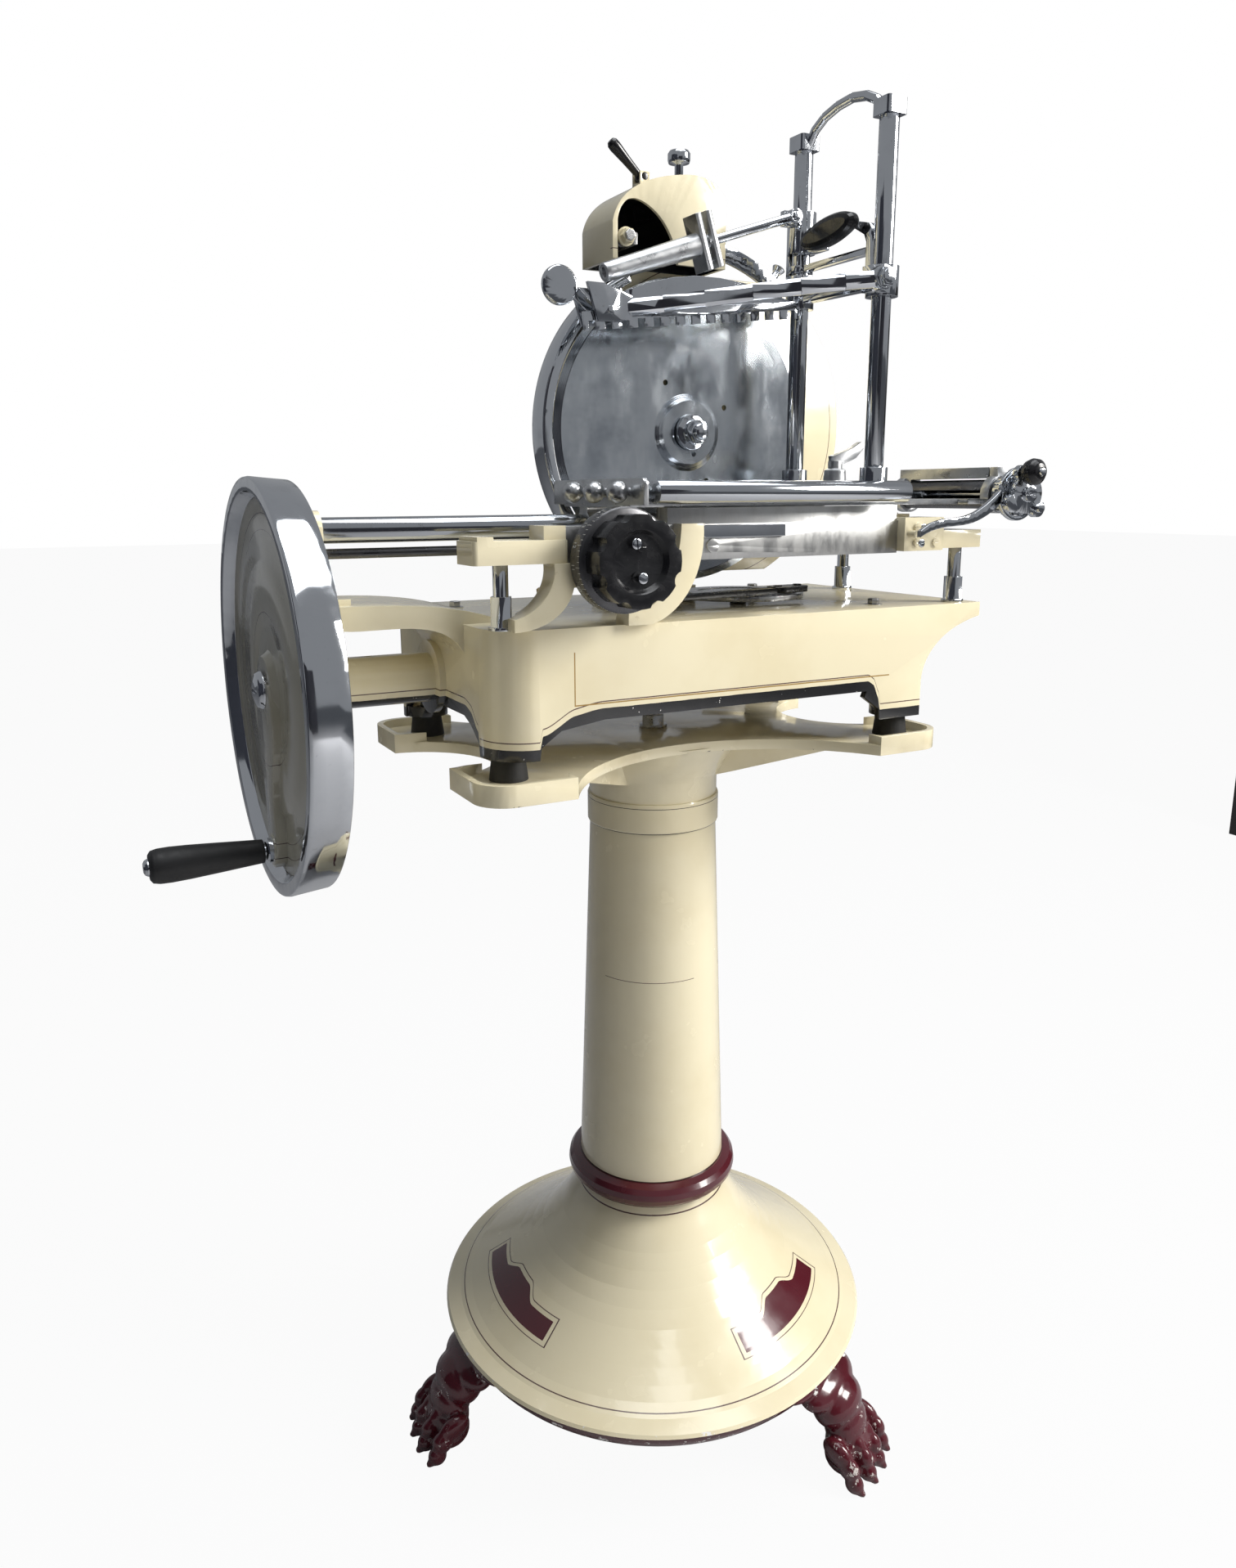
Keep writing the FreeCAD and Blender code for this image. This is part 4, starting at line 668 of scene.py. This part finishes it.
# ------------------------------------------------------------ small details
TICKS = 60
NUMERALS = 15
TICK_FRONT = -232.5  # y of the ticks' front ends
TICK_LONG, TICK_SHORT = 7.0, 4.0
TICK_HALF = 0.28  # degrees
TICK_RADII = (50.3, 50.7)
NUMERAL_Y, NUMERAL_RADIUS = -219.5, 50.6
BOX_SIDES = ((0, 1, 3, 2), (4, 6, 7, 5), (0, 4, 5, 1), (2, 3, 7, 6), (0, 2, 6, 4), (1, 5, 7, 3))

TOWARDS_FRONT = (0, -1, 0)
TONGUE = [(-66, 1163.5), (-54, 1170), (46, 1170), (46, 1157), (-54, 1157)]
KNOB_SCREWS = ((-170.0, 1156.0), (-163.0, 1124.0))  # x and z
BRACKET_SCREWS = ((222.0, 1163.0), (247.0, 1168.0), (219.0, 1146.0))  # x and z
CAP_BOLTS = ((-162.0, -13.0), (-232.0, 60.0), (212.0, 96.0), (206.0, -158.0))  # x and y
OIL_CUP = [(0, 0), (6, 0), (6, 3), (4, 4), (4, 9), (7, 11), (7.4, 16), (5, 18), (0, 18.6)]


def dial_side(angle, r, y):
    a = math.radians(angle)
    return (DIAL_AXIS[0] + r * math.sin(a), y, DIAL_AXIS[1] + r * math.cos(a))


def dial_ticks():
    points, faces = [], []
    for i in range(TICKS):
        deep = TICK_LONG if i % 4 == 0 else TICK_SHORT
        n = len(points)
        for r in TICK_RADII:
            for y in (TICK_FRONT, TICK_FRONT + deep):
                for turn in (-TICK_HALF, TICK_HALF):
                    points.append(dial_side(i * 360 / TICKS + turn, r, y))
        for quad in BOX_SIDES:
            faces.append([n + q for q in quad])
    mesh_piece("dial_ticks", points, faces, white_ink, "dial", smooth=False)


def dial_numbers():
    for i in range(NUMERALS):
        angle = i * 360 / NUMERALS
        font = bpy.data.curves.new("dial_number_%02d_text" % i, "FONT")
        font.body = str(i)
        font.size = 0.0075
        font.align_x = "CENTER"
        font.align_y = "CENTER"
        font.extrude = 0.00015
        maker = add_object(font.name, font)
        bpy.context.view_layer.update()
        graph = bpy.context.evaluated_depsgraph_get()
        data = bpy.data.meshes.new_from_object(maker.evaluated_get(graph))
        bpy.data.objects.remove(maker)
        out = Vector(dial_side(angle, 1, 0)) - Vector(dial_side(angle, 0, 0))
        along = Vector(TOWARDS_FRONT)
        turned = Matrix((along.cross(out), along, out)).transposed().to_4x4()
        at = place(dial_side(angle, NUMERAL_RADIUS, NUMERAL_Y))
        data.transform(Matrix.Translation(at) @ turned)
        obj = add_object("dial_number_%02d" % i, data)
        data.materials.clear()
        finish_piece(obj, white_ink, "dial", smooth=False)


def build_details():
    """Small pieces that the CAD leaves out. The last three bolts and the cup are guesses"""
    dial_ticks()
    dial_numbers()
    slab("rail_tongue", TONGUE, -199.0, -194.8, chrome, "stand", 0.8)
    for i, (x, z) in enumerate(KNOB_SCREWS):
        at = (x, -261.8, z)
        screw("knob_screw_%d" % (i + 1), at, TOWARDS_FRONT, 5.2, "dial", chrome, 0.3, 0.9 + i)
    for i, (x, z) in enumerate(BRACKET_SCREWS):
        at = (x, -217.8, z)
        screw("bracket_screw_%d" % (i + 1), at, TOWARDS_FRONT, 4.6, "stand", chrome, 0.4, 0.5 + i)
    hexnut("hood_nut", (-50, -31.0, 1476.0), TOWARDS_FRONT, 11, 3.0, "stand", plain_steel)
    for i, (x, y) in enumerate(CAP_BOLTS):
        hexnut("base_cap_bolt_%d" % (i + 1), (x, y, 1074.4), (0, 0, 1), 12, 6.5, "stand",
               plain_steel, 10, 0.3 * i)
    lathe("oil_cup", OIL_CUP, (-120, 60, 1073.8), (0, 0, 1), brass, "stand", 32)


build_details()


# ---------------------------------------------------------- stage and camera
FLOOR_HALF = 30.0
FLOOR_GLOW = 0.95  # how much of the floor the camera sees as plain white
WORLD_STRENGTH = 0.22
WORLD_IN_METAL = 0.16  # how much of the white surround the metal reflects
CLOTH_ROUGH = 0.9

WARM = (1.0, 0.98, 0.95)
COOL = (0.96, 0.98, 1.0)
MIDDLE = (0.1, 0.0, 1.0)
# Name, place, target, size, watts and colour
KEY = ("key_right", (2.6, -1.9, 2.7), MIDDLE, (1.4, 1.6), 165, WARM)
TOP = ("top", (0.3, -0.4, 3.6), MIDDLE, (2.2, 2.0), 52, COOL)
LOW_FRONT = ("low_front", (1.0, -3.0, 0.8), (0.1, 0, 0.5), (1.6, 1.2), 30, WARM)
# Name, the card's lower edge as two points in x and y, its height and colour
CARDS = (
    ("card_left", (-2.6, -2.6), (-2.9, 1.2), 3.0, (0.03, 0.033, 0.045)),
    ("card_front", (-2.4, -3.5), (0.5, -3.9), 2.2, (0.04, 0.04, 0.05)),
    ("card_right", (3.2, -0.9), (3.2, 1.2), 1.7, (0.03, 0.03, 0.03)),
)

# The camera that was fitted to the photograph: metres, and degrees about Z, X and Z
CAMERA_AT = (-0.683 + 0.1086, -1.1763 + 0.00715, 1.2001)
CAMERA_HEADING, CAMERA_TILT, CAMERA_ROLL = -27.79, 77.28, -0.27
CAMERA_LENS = 25.655
CAMERA_SHIFT = (0.0063, -0.0234)


def plain_material(name, colour, rough):
    mat = bpy.data.materials.new(name)
    mat.use_nodes = True
    bsdf = mat.node_tree.nodes["Principled BSDF"]
    bsdf.inputs["Base Color"].default_value = colour + (1.0,)
    bsdf.inputs["Roughness"].default_value = rough
    return mat


def flat_sheet(name, corners, mat):
    data = bpy.data.meshes.new(name)
    data.from_pydata(corners, [], [(0, 1, 2, 3)])
    data.materials.append(mat)
    return add_object(name, data)


def share_of(tree, path, ray, share):
    """A light path's output times a share"""
    node = tree.nodes.new("ShaderNodeMath")
    node.operation = "MULTIPLY"
    node.inputs[1].default_value = share
    tree.links.new(path.outputs[ray], node.inputs[0])
    return node.outputs[0]


def build_floor():
    s = FLOOR_HALF
    mat = plain_material("floor_paper", (0.42, 0.42, 0.43), CLOTH_ROUGH)
    tree = mat.node_tree
    glow = tree.nodes.new("ShaderNodeEmission")
    glow.inputs["Strength"].default_value = 1.0
    mix = tree.nodes.new("ShaderNodeMixShader")
    path = tree.nodes.new("ShaderNodeLightPath")
    tree.links.new(share_of(tree, path, "Is Camera Ray", FLOOR_GLOW), mix.inputs[0])
    tree.links.new(tree.nodes["Principled BSDF"].outputs[0], mix.inputs[1])
    tree.links.new(glow.outputs[0], mix.inputs[2])
    tree.links.new(mix.outputs[0], tree.nodes["Material Output"].inputs[0])
    floor = flat_sheet("studio_floor", [(-s, -s, 0), (s, -s, 0), (s, s, 0), (-s, s, 0)], mat)


def build_world():
    """White to the camera, a little white in the metal, and dim blue for the rest"""
    world = bpy.data.worlds.new("studio")
    bpy.context.scene.world = world
    world.use_nodes = True
    tree = world.node_tree
    back = tree.nodes["Background"]
    back.inputs["Color"].default_value = (0.75, 0.80, 0.88, 1.0)
    back.inputs["Strength"].default_value = WORLD_STRENGTH
    white = tree.nodes.new("ShaderNodeBackground")
    white.inputs["Color"].default_value = (1, 1, 1, 1)
    white.inputs["Strength"].default_value = 1.0
    mix = tree.nodes.new("ShaderNodeMixShader")
    path = tree.nodes.new("ShaderNodeLightPath")
    most = tree.nodes.new("ShaderNodeMath")
    most.operation = "MAXIMUM"
    tree.links.new(path.outputs["Is Camera Ray"], most.inputs[0])
    tree.links.new(share_of(tree, path, "Is Glossy Ray", WORLD_IN_METAL), most.inputs[1])
    tree.links.new(most.outputs[0], mix.inputs[0])
    tree.links.new(back.outputs[0], mix.inputs[1])
    tree.links.new(white.outputs[0], mix.inputs[2])
    tree.links.new(mix.outputs[0], tree.nodes["World Output"].inputs[0])


def lamp(name, at, target, size, power, colour):
    data = bpy.data.lights.new(name, "AREA")
    data.shape = "RECTANGLE"
    data.size, data.size_y = size
    data.energy = power
    data.color = colour
    obj = add_object(name, data)
    obj.location = at
    obj.rotation_euler = (Vector(target) - Vector(at)).to_track_quat("-Z", "Y").to_euler()
    return obj


def card(name, start, end, high, colour):
    """A dark card beside the set, which the polished metal reflects"""
    corners = [start + (0.0,), end + (0.0,), end + (high,), start + (high,)]
    obj = flat_sheet(name, corners, plain_material(name + "_cloth", colour, CLOTH_ROUGH))


def build_lights():
    lamp(*KEY)
    lamp(*TOP)
    fill = lamp(*LOW_FRONT)
    fill.visible_glossy = False
    for values in CARDS:
        card(*values)


def build_camera():
    data = bpy.data.cameras.new("photo_view")
    obj = add_object("photo_view", data)
    obj.location = CAMERA_AT
    look = Matrix.Rotation(math.radians(CAMERA_HEADING), 4, "Z")
    look = look @ Matrix.Rotation(math.radians(CAMERA_TILT), 4, "X")
    look = look @ Matrix.Rotation(math.radians(CAMERA_ROLL), 4, "Z")
    obj.rotation_euler = look.to_euler()
    data.sensor_width = 36.0
    data.sensor_fit = "AUTO"
    data.lens = CAMERA_LENS
    data.shift_x, data.shift_y = CAMERA_SHIFT
    data.clip_start = 0.02
    bpy.context.scene.camera = obj


build_floor()
build_world()
build_lights()
build_camera()
scene = bpy.context.scene
scene.view_settings.view_transform = "Standard"
